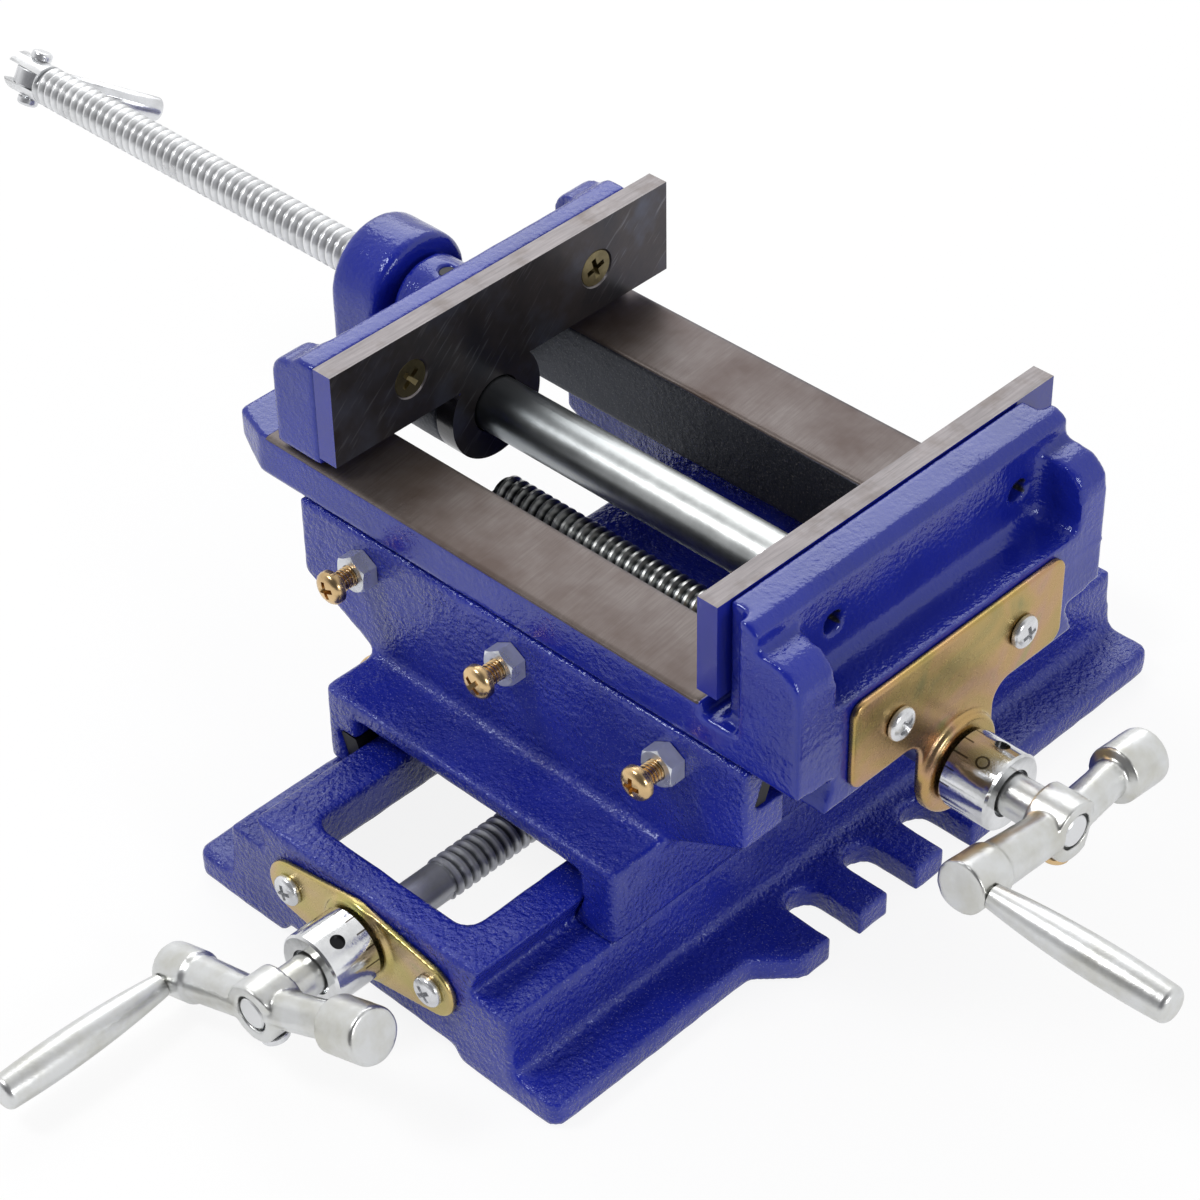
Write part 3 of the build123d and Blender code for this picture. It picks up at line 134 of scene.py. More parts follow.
# Dials: lines a turn, and where they run, in millimetres from the collar's rim
DIAL_LINES = 15
LONG_LINES = 3
LINE_START = 0.5
SHORT_LINE_END = 3.4
LONG_LINE_START = 1.4
LINE_HALF_ANGLE = 1.25
DIAL_INK = (0.055, 0.035, 0.022)

# Camera fitted to the photograph: its picture is 1200 pixels wide and high
PHOTO_SIZE = 1200
FOCAL_PIXELS = 3420.72
PHOTO_CENTRE = (510.56, 584.40)
SENSOR = 36.0


# Node helpers
def material(name):
    """New node material with its tree and shader."""
    mat = bpy.data.materials.new(name)
    mat.use_nodes = True
    tree = mat.node_tree
    return mat, tree, tree.nodes["Principled BSDF"]


def link(tree, source, target):
    tree.links.new(source, target)


def feed(tree, socket, value):
    """Puts a socket, number or colour into a socket."""
    if isinstance(value, (int, float)):
        socket.default_value = value
    elif isinstance(value, tuple):
        socket.default_value = (*value, 1.0)
    else:
        link(tree, value, socket)


def ramp(tree, fac, *stops):
    """Colour ramp through (position, colour) stops."""
    made = tree.nodes.new("ShaderNodeValToRGB")
    while len(made.color_ramp.elements) < len(stops):
        made.color_ramp.elements.new(0.5)
    for element, (place, colour) in zip(made.color_ramp.elements, stops):
        element.position = place
        element.color = (*colour, 1.0)
    link(tree, fac, made.inputs["Fac"])
    return made.outputs["Color"]


def maths(tree, operation, a, b=0.0, clamp=False):
    """Math node on sockets or numbers."""
    made = tree.nodes.new("ShaderNodeMath")
    made.operation = operation
    made.use_clamp = clamp
    feed(tree, made.inputs[0], a)
    feed(tree, made.inputs[1], b)
    return made.outputs[0]


def add_up(tree, a, b):
    return maths(tree, "ADD", a, b)


def take_off(tree, a, b):
    return maths(tree, "SUBTRACT", a, b)


def times(tree, a, b):
    return maths(tree, "MULTIPLY", a, b)


def length_of(tree, u, v):
    """Length of a vector with the two parts u and v."""
    return maths(tree, "SQRT", add_up(tree, times(tree, u, u), times(tree, v, v)))


def largest(tree, values):
    """The largest of some sockets, or None without any."""
    made = None
    for value in values:
        made = value if made is None else maths(tree, "MAXIMUM", made, value)
    return made


def step(tree, value, low, high):
    """0 below low, 1 above high, straight between them."""
    return maths(tree, "DIVIDE", take_off(tree, value, low), high - low, clamp=True)


def vector_maths(tree, operation, vector, constant):
    """Vector math node on a socket and a fixed vector."""
    made = tree.nodes.new("ShaderNodeVectorMath")
    made.operation = operation
    link(tree, vector, made.inputs[0])
    made.inputs[1].default_value = constant
    return made.outputs


def blend_colour(tree, fac, a, b):
    """Mix of two colours, each a socket or a colour."""
    made = tree.nodes.new("ShaderNodeMix")
    made.data_type = "RGBA"
    feed(tree, made.inputs[0], fac)
    feed(tree, made.inputs[6], a)
    feed(tree, made.inputs[7], b)
    return made.outputs[2]


def blend_value(tree, fac, a, b):
    """Mix of two values, each a socket or a number."""
    made = tree.nodes.new("ShaderNodeMix")
    feed(tree, made.inputs[0], fac)
    feed(tree, made.inputs[2], a)
    feed(tree, made.inputs[3], b)
    return made.outputs[0]


def coordinates(tree, stretch=(1, 1, 1), turn=(0, 0, 0)):
    """Place in the row frame, turned and then stretched."""
    coord = tree.nodes.new("ShaderNodeTexCoord")
    mapping = tree.nodes.new("ShaderNodeMapping")
    mapping.vector_type = "TEXTURE"
    mapping.inputs["Scale"].default_value = [1 / value for value in stretch]
    mapping.inputs["Rotation"].default_value = turn
    link(tree, coord.outputs["Object"], mapping.inputs["Vector"])
    return mapping.outputs["Vector"]


def grain(tree, scale, detail=3.0, rough=0.55, stretch=(1, 1, 1), turn=(0, 0, 0), distortion=0.0):
    """Noise in the row frame, as a 0 to 1 value."""
    made = tree.nodes.new("ShaderNodeTexNoise")
    made.inputs["Scale"].default_value = scale
    made.inputs["Detail"].default_value = detail
    made.inputs["Roughness"].default_value = rough
    made.inputs["Distortion"].default_value = distortion
    link(tree, coordinates(tree, stretch, turn), made.inputs["Vector"])
    return made.outputs["Fac"]


def parts_of(tree, vector):
    """Sockets for the x, y and z of a vector."""
    split = tree.nodes.new("ShaderNodeSeparateXYZ")
    link(tree, vector, split.inputs[0])
    return split.outputs


def position(tree):
    """Sockets for x, y and z in the row frame, in millimetres."""
    return parts_of(tree, coordinates(tree, (1 / MM, 1 / MM, 1 / MM)))


def facing(tree, axis):
    """How far the surface faces along an axis, from -1 to 1, in the row frame."""
    coord = tree.nodes.new("ShaderNodeTexCoord")
    return parts_of(tree, coord.outputs["Normal"])[axis]


def bump(tree, height, distance):
    """Bump of that height in metres."""
    made = tree.nodes.new("ShaderNodeBump")
    made.inputs["Distance"].default_value = distance
    made.inputs["Strength"].default_value = 1.0
    link(tree, height, made.inputs["Height"])
    return made.outputs["Normal"]


def inside_box(tree, low, high, soft=0.3):
    """1 inside a box given in millimetres, with soft sides."""
    made = None
    for socket, a, b in zip(position(tree), low, high):
        above = step(tree, socket, a, a + soft)
        below = step(tree, times(tree, socket, -1), -b, soft - b)
        part = times(tree, above, below)
        made = part if made is None else times(tree, made, part)
    return made


def inside_any(tree, boxes):
    """1 inside any of some boxes (low, high) in millimetres, or None without boxes."""
    return largest(tree, [inside_box(tree, low, high) for low, high in boxes])


def polar(tree, across, up, centre):
    """Angle in degrees and radius in millimetres round an axis of the row frame."""
    place = position(tree)
    u = take_off(tree, place[across], centre[0])
    v = take_off(tree, place[up], centre[1])
    angle = times(tree, maths(tree, "ARCTAN2", v, u), 180 / math.pi)
    return angle, length_of(tree, u, v)


# Materials
def paint_colour(tree):
    """Navy of the enamel, with broad lighter clouds."""
    return ramp(tree, grain(tree, 22.0, 3.0, 0.55), (0.3, PAINT_DEEP), (0.72, PAINT_LIGHT))


def enamel(name, texture, milled=(), dark=()):
    """Navy gloss enamel over cast iron, with bare milled faces and near-black ones: unpainted
    metal in part, painted shade in part.

    texture: height of the cast grain. milled, dark: boxes (low, high) in millimetres.
    """
    mat, tree, shader = material(name)
    patch = grain(tree, 60.0, 2.0, 0.5)
    lumps = grain(tree, 680.0, 2.0, 0.5)
    pits = grain(tree, 1900.0, 2.0, 0.6)
    # light specks on the cast grain: painted highlights that stand in for glints
    glint_speck = times(tree, step(tree, pits, 0.61, 0.70), 0.36 * texture * texture)
    colour = blend_colour(tree, glint_speck, paint_colour(tree), PAINT_GLINT_SPECK)
    grit = add_up(tree, lumps, times(tree, pits, 0.22))
    depth = times(tree, step(tree, patch, 0.25, 0.65), 0.75)
    height = times(tree, grit, add_up(tree, depth, 0.25))
    rough = add_up(tree, times(tree, pits, 0.08), 0.07)
    metal = inside_any(tree, milled)
    if metal is not None:
        marks = grain(tree, 1500.0, 2.0, 0.7, stretch=(1, 0.05, 1), turn=(0, 0, math.radians(6)))
        wear = grain(tree, 38.0, 4.0, 0.6)
        bare = ramp(tree, marks, (0.25, (0.108, 0.088, 0.078)), (0.75, (0.150, 0.128, 0.116)))
        bare = blend_colour(tree, step(tree, wear, 0.40, 0.68), bare, (0.078, 0.055, 0.043))
        colour = blend_colour(tree, metal, colour, bare)
        rough = blend_value(tree, metal, rough, 0.44)
        height = blend_value(tree, metal, height, times(tree, marks, 0.05 / texture))
        link(tree, times(tree, metal, 0.75), shader.inputs["Metallic"])
    # near-black boxes: unpainted walls of the slot, and painted shade in the web's holes and round
    # the jaw's boss
    bare_and_shade_share = inside_any(tree, dark)
    if bare_and_shade_share is not None:
        bare_and_shade_colour = ramp(
            tree,
            pits,
            (0.45, (0.005, 0.005, 0.007)),
            (0.62, (0.018, 0.018, 0.020)),
            (0.74, (0.12, 0.11, 0.10)),
        )
        colour = blend_colour(tree, bare_and_shade_share, colour, bare_and_shade_colour)
        rough = blend_value(tree, bare_and_shade_share, rough, 0.5)
    link(tree, colour, shader.inputs["Base Color"])
    link(tree, rough, shader.inputs["Roughness"])
    shader.inputs["IOR"].default_value = PAINT_IOR
    shader.inputs["Specular Tint"].default_value = PAINT_GLINT
    link(tree, bump(tree, height, PAINT_RELIEF * texture), shader.inputs["Normal"])
    return mat


def metal_look(
    name,
    tint,
    low,
    high,
    lump=0.00006,
    scale=420.0,
    stain=0.72,
    extra=None,
    metallic=1.0,
    rust=(1, 1, 1),
):
    """Zinc or steel with fine unevenness and soft stains.

    low, high: roughness, lump, scale: height in metres and fineness of the unevenness,
    stain, rust: how dark the stains are and their tint, extra: function of the tree and the
    colour that gives the final colour.
    """
    mat, tree, shader = material(name)
    stains = grain(tree, 85.0, 4.0, 0.6)
    fine = grain(tree, scale, 3.0, 0.6)
    darker = tuple(value * stain * share for value, share in zip(tint, rust))
    colour = ramp(tree, stains, (0.32, darker), (0.60, tint))
    if extra:
        colour = extra(tree, colour)
    rough = add_up(tree, times(tree, stains, high - low), low)
    link(tree, colour, shader.inputs["Base Color"])
    shader.inputs["Metallic"].default_value = metallic
    link(tree, rough, shader.inputs["Roughness"])
    link(tree, bump(tree, fine, lump), shader.inputs["Normal"])
    return mat


def root_shaded(across, up, centre, crest, dark, neck=None):
    """Painted shade: a colour change that darkens the roots of a thread round an axis.

    crest: radius from which the thread is bright, neck: (axis, where, way) of the plain bright
    neck past the thread.
    """

    def change(tree, colour):
        radius = polar(tree, across, up, centre)[1]
        # painted shade, darkest in the thread's roots
        colour = blend_colour(tree, step(tree, radius, ROOT_RADIUS, crest), dark, colour)
        if neck:
            axis, where, way = neck
            past = times(tree, take_off(tree, position(tree)[axis], where), way)
            colour = blend_colour(tree, step(tree, past, 0.0, 0.2), colour, NECK_BRIGHT)
        return colour

    return change


def dial(across, up, along, centre, rim, way, first, long, zero=None):
    """Dark engraved lines round a dial collar, with an optional plain 0.

    rim: where the collar starts along the shaft, way: +1 or -1 along it, first: angle of a long
    line, long: how far the long lines reach, zero: (angle, reach, half width, half height).
    """

    def change(tree, colour):
        angle = polar(tree, across, up, centre)[0]
        reach = times(tree, take_off(tree, position(tree)[along], rim), way)
        drawn = []
        for count, start, end in (
            (DIAL_LINES, LINE_START, SHORT_LINE_END),
            (LONG_LINES, LONG_LINE_START, long),
        ):
            span = 360.0 / count
            turned = add_up(tree, take_off(tree, angle, first), 720 + span / 2)
            share = maths(tree, "MODULO", turned, span)
            off = maths(tree, "ABSOLUTE", take_off(tree, share, span / 2))
            line = maths(tree, "LESS_THAN", off, LINE_HALF_ANGLE)
            line = times(tree, line, maths(tree, "GREATER_THAN", reach, start))
            drawn.append(times(tree, line, maths(tree, "LESS_THAN", reach, end)))
        if zero:
            u = maths(tree, "DIVIDE", take_off(tree, angle, zero[0]), zero[2])
            v = maths(tree, "DIVIDE", take_off(tree, reach, zero[1]), zero[3])
            off = maths(tree, "ABSOLUTE", take_off(tree, length_of(tree, u, v), 1.0))
            drawn.append(maths(tree, "LESS_THAN", off, 0.17))
        return blend_colour(tree, times(tree, largest(tree, drawn), 0.85), colour, DIAL_INK)

    return change


def rod_painted_shade(tree, colour):
    """Painted shade: darker, bluer steel where the rod comes out of the movable jaw, with soft
    clouds.
    """
    clouds = grain(tree, 30.0, 3.0, 0.5, stretch=(0.4, 1, 1))
    # painted shade towards the jaw end of the rod
    near = take_off(tree, 1.0, step(tree, position(tree)[0], -58.0, 5.0))
    fade = times(tree, near, add_up(tree, times(tree, clouds, 0.8), 0.5))
    return blend_colour(tree, maths(tree, "MINIMUM", fade, 0.9), colour, (0.19, 0.21, 0.225))


def iridescent(name, tint):
    """Yellow-passivated zinc, gold with pink and green clouds, times a tint."""
    mat, tree, shader = material(name)
    fine = grain(tree, 380.0, 3.0, 0.6)
    colour = ramp(
        tree,
        grain(tree, 40.0, 2.0, 0.5, distortion=1.2),
        (0.26, (0.29, 0.25, 0.105)),
        (0.40, (0.42, 0.30, 0.115)),
        (0.52, (0.47, 0.30, 0.145)),
        (0.62, (0.46, 0.28, 0.19)),
        (0.76, (0.34, 0.31, 0.14)),
    )
    tinted = vector_maths(tree, "MULTIPLY", colour, tint)
    link(tree, tinted["Vector"], shader.inputs["Base Color"])
    shader.inputs["Metallic"].default_value = 1.0
    link(tree, add_up(tree, times(tree, fine, 0.10), 0.22), shader.inputs["Roughness"])
    link(tree, bump(tree, fine, 0.000015), shader.inputs["Normal"])
    return mat


def jaw_plate_look(name, front):
    """Hardened plate: near-black face with slanting scratches, bright ground top, painted ends
    and back, and a near-black lobe below: unpainted steel with painted shade over it.

    front: +1 where the face looks along +X, -1 where it looks the other way.
    """
    mat, tree, shader = material(name)
    slant = (math.radians(42), 0, 0)
    scratch = grain(tree, 1000.0, 2.0, 0.5, stretch=(1, 0.08, 1), turn=slant)
    rare = grain(tree, 30.0, 3.0, 0.6)
    clouds = grain(tree, 45.0, 4.0, 0.6)
    dark = ramp(
        tree,
        clouds,
        (0.3, (0.040, 0.040, 0.048)),
        (0.5, (0.066, 0.058, 0.060)),
        (0.7, (0.098, 0.105, 0.140)),
    )
    lines = times(tree, step(tree, scratch, 0.60, 0.68), step(tree, rare, 0.40, 0.58))
    dark = blend_colour(tree, times(tree, lines, 0.40), dark, (0.24, 0.24, 0.26))
    marks = grain(tree, 1400.0, 2.0, 0.7, stretch=(1, 0.05, 1))
    worn = grain(tree, 120.0, 3.0, 0.6)
    bright = ramp(tree, marks, (0.3, (0.120, 0.110, 0.112)), (0.7, (0.180, 0.165, 0.168)))
    bright = blend_colour(tree, step(tree, worn, 0.50, 0.85), bright, (0.085, 0.068, 0.060))
    top = step(tree, facing(tree, 2), 0.5, 0.7)
    face = step(tree, times(tree, facing(tree, 0), front), 0.3, 0.6)
    # the lobe below the plate: unpainted steel darkened as painted shade
    lobe = take_off(tree, 1.0, step(tree, position(tree)[2], 107.9, 108.3))
    colour = blend_colour(tree, lobe, paint_colour(tree), LOBE_UNPAINTED_AND_SHADE)
    colour = blend_colour(tree, face, colour, dark)
    colour = blend_colour(tree, top, colour, bright)
    bare = largest(tree, [top, face])
    rough = blend_value(tree, bare, 0.16, add_up(tree, times(tree, clouds, 0.2), 0.24))
    link(tree, colour, shader.inputs["Base Color"])
    link(tree, times(tree, bare, 0.8), shader.inputs["Metallic"])
    link(tree, rough, shader.inputs["Roughness"])
    shader.inputs["IOR"].default_value = PAINT_IOR
    link(tree, bump(tree, scratch, 0.00003), shader.inputs["Normal"])
    return mat


zinc = metal_look("bright_zinc", (0.76, 0.77, 0.79), 0.16, 0.32, metallic=0.85)
cast_zinc = metal_look(
    "cast_zinc",
    (0.66, 0.67, 0.67),
    0.24,
    0.40,
    0.00007,
    stain=0.82,
    rust=(1.0, 0.98, 0.90),
)
nut_zinc = metal_look("nut_zinc", (0.74, 0.76, 0.80), 0.22, 0.34, 0.00004, 500.0, metallic=0.75)
yellow_zinc = metal_look("yellow_zinc", (0.74, 0.52, 0.27), 0.16, 0.32, 0.00004, 500.0)
aged_zinc = metal_look("aged_yellow_zinc", (0.30, 0.25, 0.13), 0.25, 0.42, 0.00005, 500.0, 0.4)
black_steel = metal_look("black_steel", (0.03, 0.03, 0.032), 0.30, 0.5, 0.00003, 600.0)
bronze = metal_look("bronze", (0.50, 0.34, 0.17), 0.3, 0.45, 0.00006, 400.0)
rod_steel = metal_look(
    "ground_rod",
    (0.56, 0.58, 0.575),
    0.26,
    0.40,
    0.00002,
    500.0,
    extra=rod_painted_shade,
)
vise_thread = metal_look(
    "bright_thread",
    (0.82, 0.83, 0.84),
    0.22,
    0.36,
    extra=root_shaded(1, 2, (AXIS_Y, VISE_Z), 5.7, (0.46, 0.47, 0.48)),
    metallic=0.7,
)
lower_thread = metal_look(
    "lower_thread",
    (0.64, 0.65, 0.68),
    0.24,
    0.42,
    extra=root_shaded(0, 2, (0.0, LOWER_Z), 5.6, (0.12, 0.125, 0.135), (1, -LOWER_NECK, -1)),
    metallic=0.75,
)
upper_thread = metal_look(
    "upper_thread",
    (0.48, 0.49, 0.48),
    0.22,
    0.40,
    extra=root_shaded(1, 2, (AXIS_Y, UPPER_Z), 5.6, (0.060, 0.064, 0.066), (0, UPPER_NECK, 1)),
)
lower_dial = dial(0, 2, 1, (0.0, LOWER_Z), -124.9, -1, 9.3, 5.3)
upper_dial = dial(1, 2, 0, (AXIS_Y, UPPER_Z), 100.8, 1, 120.7, 5.0, (115.5, 8.9, 8.0, 1.7))
collar_tint = (0.78, 0.79, 0.80)

looks = {
    "base_casting": enamel("navy_enamel_base", 1.0),
    "saddle_casting": enamel("navy_enamel_saddle", 0.9),
    "vise_body": enamel("navy_enamel_body", 0.3, [BED_BOX], [SLOT_BOX] + HOLE_SHADE_BOXES),
    "movable_jaw": enamel("navy_enamel_jaw", 0.3, dark=[JAW_BOSS_SHADE_BOX]),
    "lower_bearing_plate": iridescent("iridescent_zinc_pale", (1.15, 1.38, 1.25)),
    "upper_bearing_plate": iridescent("iridescent_zinc", (1.0, 1.0, 0.9)),
    "lower_plate_screws": zinc,
    "upper_plate_screws": zinc,
    "lower_gib": black_steel,
    "upper_gib": black_steel,
    "lower_gib_screws": yellow_zinc,
    "upper_gib_screws": yellow_zinc,
    "lower_gib_lock_nuts": nut_zinc,
    "upper_gib_lock_nuts": nut_zinc,
    "lower_leadscrew_nut": bronze,
    "upper_leadscrew_nut": bronze,
    "lower_nut_screws": black_steel,
    "upper_nut_screws": black_steel,
    "guide_rod": rod_steel,
    "guide_rod_set_screw": black_steel,
    "fixed_jaw_plate": jaw_plate_look("fixed_plate_steel", -1),
    "movable_jaw_plate": jaw_plate_look("movable_plate_steel", 1),
    "fixed_jaw_screws": aged_zinc,
    "movable_jaw_screws": aged_zinc,
    "vise_screw": vise_thread,
    "screw_retainer": black_steel,
    "folding_handle": zinc,
    "handle_pivot": zinc,
    "lower_leadscrew": lower_thread,
    "upper_leadscrew": upper_thread,
    "lower_dial_collar": metal_look(
        "lower_dial", collar_tint, 0.08, 0.20, 0.00003, 500.0, extra=lower_dial
    ),
    "upper_dial_collar": metal_look(
        "upper_dial", collar_tint, 0.08, 0.20, 0.00003, 500.0, extra=upper_dial
    ),
    "lower_collar_set_screw": black_steel,
    "upper_collar_set_screw": black_steel,
    "lower_crank": cast_zinc,
    "upper_crank": cast_zinc,
    "lower_crank_handle": cast_zinc,
    "upper_crank_handle": cast_zinc,
    "lower_crank_screw": zinc,
    "upper_crank_screw": yellow_zinc,
}
for name, mat in looks.items():
    nodes[name].data.materials.clear()
    nodes[name].data.materials.append(mat)

body_of = {}
for body, members in frame["record"]["behaviour"]["bodies"].items():
    for member in members:
        body_of[member] = body


# Mesh helpers; bmesh work is in millimetres until a piece is finished
def cad_mesh(name):
    """Closed copy of a CAD node's mesh, in millimetres."""
    made = bmesh.new()
    made.from_mesh(nodes[name].data)
    bmesh.ops.remove_doubles(made, verts=made.verts, dist=1e-6)
    bmesh.ops.transform(made, matrix=Matrix.Scale(1 / MM, 4), verts=made.verts)
    return made


def stand_in(name, made, smooth=35.0):
    """Turns a bmesh in millimetres into the shown piece for one CAD node.

    smooth: angle in degrees from which an edge is sharp, or None for no sharp edges.
    """
    bmesh.ops.transform(made, matrix=Matrix.Scale(MM, 4), verts=made.verts)
    mesh = bpy.data.meshes.new(f"{name}_form")
    made.to_mesh(mesh)
    made.free()
    mesh.shade_smooth()
    if smooth:
        mesh.set_sharp_from_angle(angle=math.radians(smooth))
    mesh.materials.append(looks[name])
    piece = bpy.data.objects.new(f"{name}_detail", mesh)
    bpy.context.scene.collection.objects.link(piece)
    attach(piece, body_of[name])
    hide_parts(name)


def modified(made, kind, **settings):
    """Result of a Blender modifier on a bmesh."""
    mesh = bpy.data.meshes.new("work")
    made.to_mesh(mesh)
    made.free()
    piece = bpy.data.objects.new("work", mesh)
    bpy.context.scene.collection.objects.link(piece)
    modifier = piece.modifiers.new(kind.lower(), kind)
    for key, value in settings.items():
        setattr(modifier, key, value)
    graph = bpy.context.evaluated_depsgraph_get()
    result = bpy.data.meshes.new_from_object(piece.evaluated_get(graph))
    fresh = bmesh.new()
    fresh.from_mesh(result)
    bpy.data.objects.remove(piece)
    bpy.data.meshes.remove(mesh)
    bpy.data.meshes.remove(result)
    return fresh


def cut_away(made, cutter):
    """Boolean difference of two bmeshes."""
    mesh = bpy.data.meshes.new("cutter")
    cutter.to_mesh(mesh)
    cutter.free()
    tool = bpy.data.objects.new("cutter", mesh)
    bpy.context.scene.collection.objects.link(tool)
    made = modified(
        made, "BOOLEAN", operation="DIFFERENCE", object=tool, solver="EXACT", use_self=True
    )
    bpy.data.objects.remove(tool)
    bpy.data.meshes.remove(mesh)
    return made


def on_circle(place, radius, index, segments, along):
    """Point on a circle round the local Z axis of place."""
    angle = 2 * math.pi * index / segments
    return place @ Vector((radius * math.cos(angle), radius * math.sin(angle), along))


def lathe(made, place, profile, segments=40):
    """Turned form through (along, radius) points round the local Z axis of place."""
    rings = []
    for along, radius in profile:
        if radius < 1e-6:
            rings.append([made.verts.new(place @ Vector((0, 0, along)))])
            continue
        ring = [on_circle(place, radius, index, segments, along) for index in range(segments)]
        rings.append([made.verts.new(point) for point in ring])
    for first, second in zip(rings, rings[1:]):
        for index in range(segments):
            after = (index + 1) % segments
            corners = [first[index % len(first)], first[after % len(first)]]
            corners += [second[after % len(second)], second[index % len(second)]]
            unique = list(dict.fromkeys(corners))
            if len(unique) > 2:
                made.faces.new(unique)


def thread(made, place, start, end, crest, depth, pitch=PITCH, segments=36):
    """Right-hand thread round the local Z axis of place, with its rows along the helix."""
    turns = math.ceil((end - start) / pitch) + 1
    rows = []
    for turn in range(-1, turns):
        for share, height in THREAD_FORM:
            base = start + (turn + share) * pitch
            row = []
            for index in range(segments):
                along = base + pitch * index / segments
                held = min(max(along, start), end)
                radius = crest - depth if held != along else crest - depth * (1 - height)
                row.append(made.verts.new(on_circle(place, radius, index, segments, held)))
            rows.append(row)
    lead = len(THREAD_FORM)
    for number, (first, second) in enumerate(zip(rows, rows[1:]), 1):
        for index in range(segments - 1):
            after = index + 1
            made.faces.new((first[index], first[after], second[after], second[index]))
        if number + lead < len(rows):
            below, above = rows[number - 1 + lead], rows[number + lead]
            made.faces.new((first[-1], below[0], above[0], second[-1]))


def tidy(made):
    """Merges points that coincide and drops faces with no area."""
    bmesh.ops.remove_doubles(made, verts=made.verts, dist=1e-4)
    bmesh.ops.dissolve_degenerate(made, edges=made.edges, dist=1e-4)
    bmesh.ops.recalc_face_normals(made, faces=made.faces)
    return made


def along_axis(origin, direction):
    """Matrix whose Z axis runs along a direction, in millimetres."""
    place = Vector(direction).to_track_quat("Z", "Y").to_matrix().to_4x4()
    place.translation = Vector(origin)
    return place


def side_of(name, point, normal):
    """The part of a CAD node's mesh on the side of a plane that the normal points to, capped."""
    made = cad_mesh(name)
    everything = made.verts[:] + made.edges[:] + made.faces[:]
    bmesh.ops.bisect_plane(
        made, geom=everything, plane_co=point, plane_no=normal, clear_inner=True
    )
    bmesh.ops.holes_fill(made, edges=[edge for edge in made.edges if edge.is_boundary])
    return made


def merge_into(made, other):
    """Adds one bmesh to another and frees it."""
    mesh = bpy.data.meshes.new("merge")
    other.to_mesh(mesh)
    other.free()
    made.from_mesh(mesh)
    bpy.data.meshes.remove(mesh)


# Screws with real threads
vise = side_of("vise_screw", (CLEVIS_END, 0, 0), (-1, 0, 0))
merge_into(vise, side_of("vise_screw", (BOSS_BACK, 0, 0), (1, 0, 0)))
turned = bmesh.new()
vise_axis = along_axis((0, AXIS_Y, VISE_Z), (1, 0, 0))
thread(turned, vise_axis, CLEVIS_END - 0.2, BOSS_BACK + 0.2, SCREW_RADIUS, THREAD_DEPTH)
merge_into(vise, tidy(turned))
stand_in("vise_screw", vise)

# Leadscrews; tip, thread end and neck are along the way out
core = SCREW_RADIUS - THREAD_DEPTH
for name, origin, direction, tip, thread_end, neck in (
    ("lower_leadscrew", (0, 0, LOWER_Z), (0, -1, 0), -78.0, 94.0, LOWER_NECK),
    ("upper_leadscrew", (0, AXIS_Y, UPPER_Z), (1, 0, 0), -62.0, 78.0, UPPER_NECK),
):
    outer = max(Vector(direction).dot(corner / MM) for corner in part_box(name))
    place = along_axis(origin, direction)
    made = bmesh.new()
    thread(made, place, tip, thread_end, SCREW_RADIUS, THREAD_DEPTH)
    tidy(made)
    lathe(made, place, [(tip, 0), (tip, core), (tip + 0.4, core)])
    shank_points = [
        (thread_end - 1.6, core),
        (thread_end + 0.4, SHANK_RADIUS),
        (neck, SHANK_RADIUS),
        (neck, NECK_RADIUS),
        (outer - 2.5, NECK_RADIUS),
        (outer - 2.5, NECK_RADIUS - 0.6),
        (outer - 0.4, NECK_RADIUS - 0.6),
        (outer, NECK_RADIUS - 1.0),
        (outer, 0),
    ]
    lathe(made, place, shank_points)
    stand_in(name, made)

# Folding handle: the CAD form with a round tongue that fills the clevis
lever = cad_mesh("folding_handle")
joints = frame["record"]["behaviour"]["joints"]
joint = next(row for row in joints if row["name"] == "handle_fold")
hinge = along_axis([value / MM for value in joint["pos_m"]], joint["axis"])
tongue = bmesh.new()
tongue_points = [
    (-TONGUE_HALF, PIVOT_RADIUS),
    (-TONGUE_HALF, TONGUE_RADIUS - TONGUE_BEVEL),
    (TONGUE_BEVEL - TONGUE_HALF, TONGUE_RADIUS),
    (TONGUE_HALF - TONGUE_BEVEL, TONGUE_RADIUS),
    (TONGUE_HALF, TONGUE_RADIUS - TONGUE_BEVEL),
    (TONGUE_HALF, PIVOT_RADIUS),
    (-TONGUE_HALF, PIVOT_RADIUS),
]
lathe(tongue, hinge, tongue_points)
merge_into(lever, tidy(tongue))
stand_in("folding_handle", lever)


# Cross-recessed screws
def islands(made):
    """The points of each separate form in a bmesh, always in the same order."""
    seen = set()
    for start in made.verts:
        if start in seen:
            continue
        seen.add(start)
        island = [start]
        for vertex in island:  # the list grows meanwhile
            for edge in vertex.link_edges:
                other = edge.other_vert(vertex)
                if other not in seen:
                    seen.add(other)
                    island.append(other)
        yield np.array([vertex.co for vertex in island])


def frames_of(name):
    """Each screw of a node: middle of its head's top, way out of the head, length, head radius."""
    made = cad_mesh(name)
    found = []
    for points in islands(made):
        centred = points - points.mean(0)
        values, vectors = np.linalg.eigh(np.cov(centred.T))
        odd = 2 if values[1] - values[0] < values[2] - values[1] else 0
        axis = vectors[:, odd]
        offsets = centred @ axis
        radii = np.linalg.norm(centred - np.outer(offsets, axis), axis=1)
        if offsets[radii > 0.97 * radii.max()].mean() < (offsets.max() + offsets.min()) / 2:
            axis = -axis
            offsets = -offsets
        origin = points.mean(0) + axis * offsets.max()
        found.append((origin, axis, offsets.max() - offsets.min(), radii.max()))
    made.free()
    return sorted(found, key=lambda row: tuple(np.round(row[0], 1)))


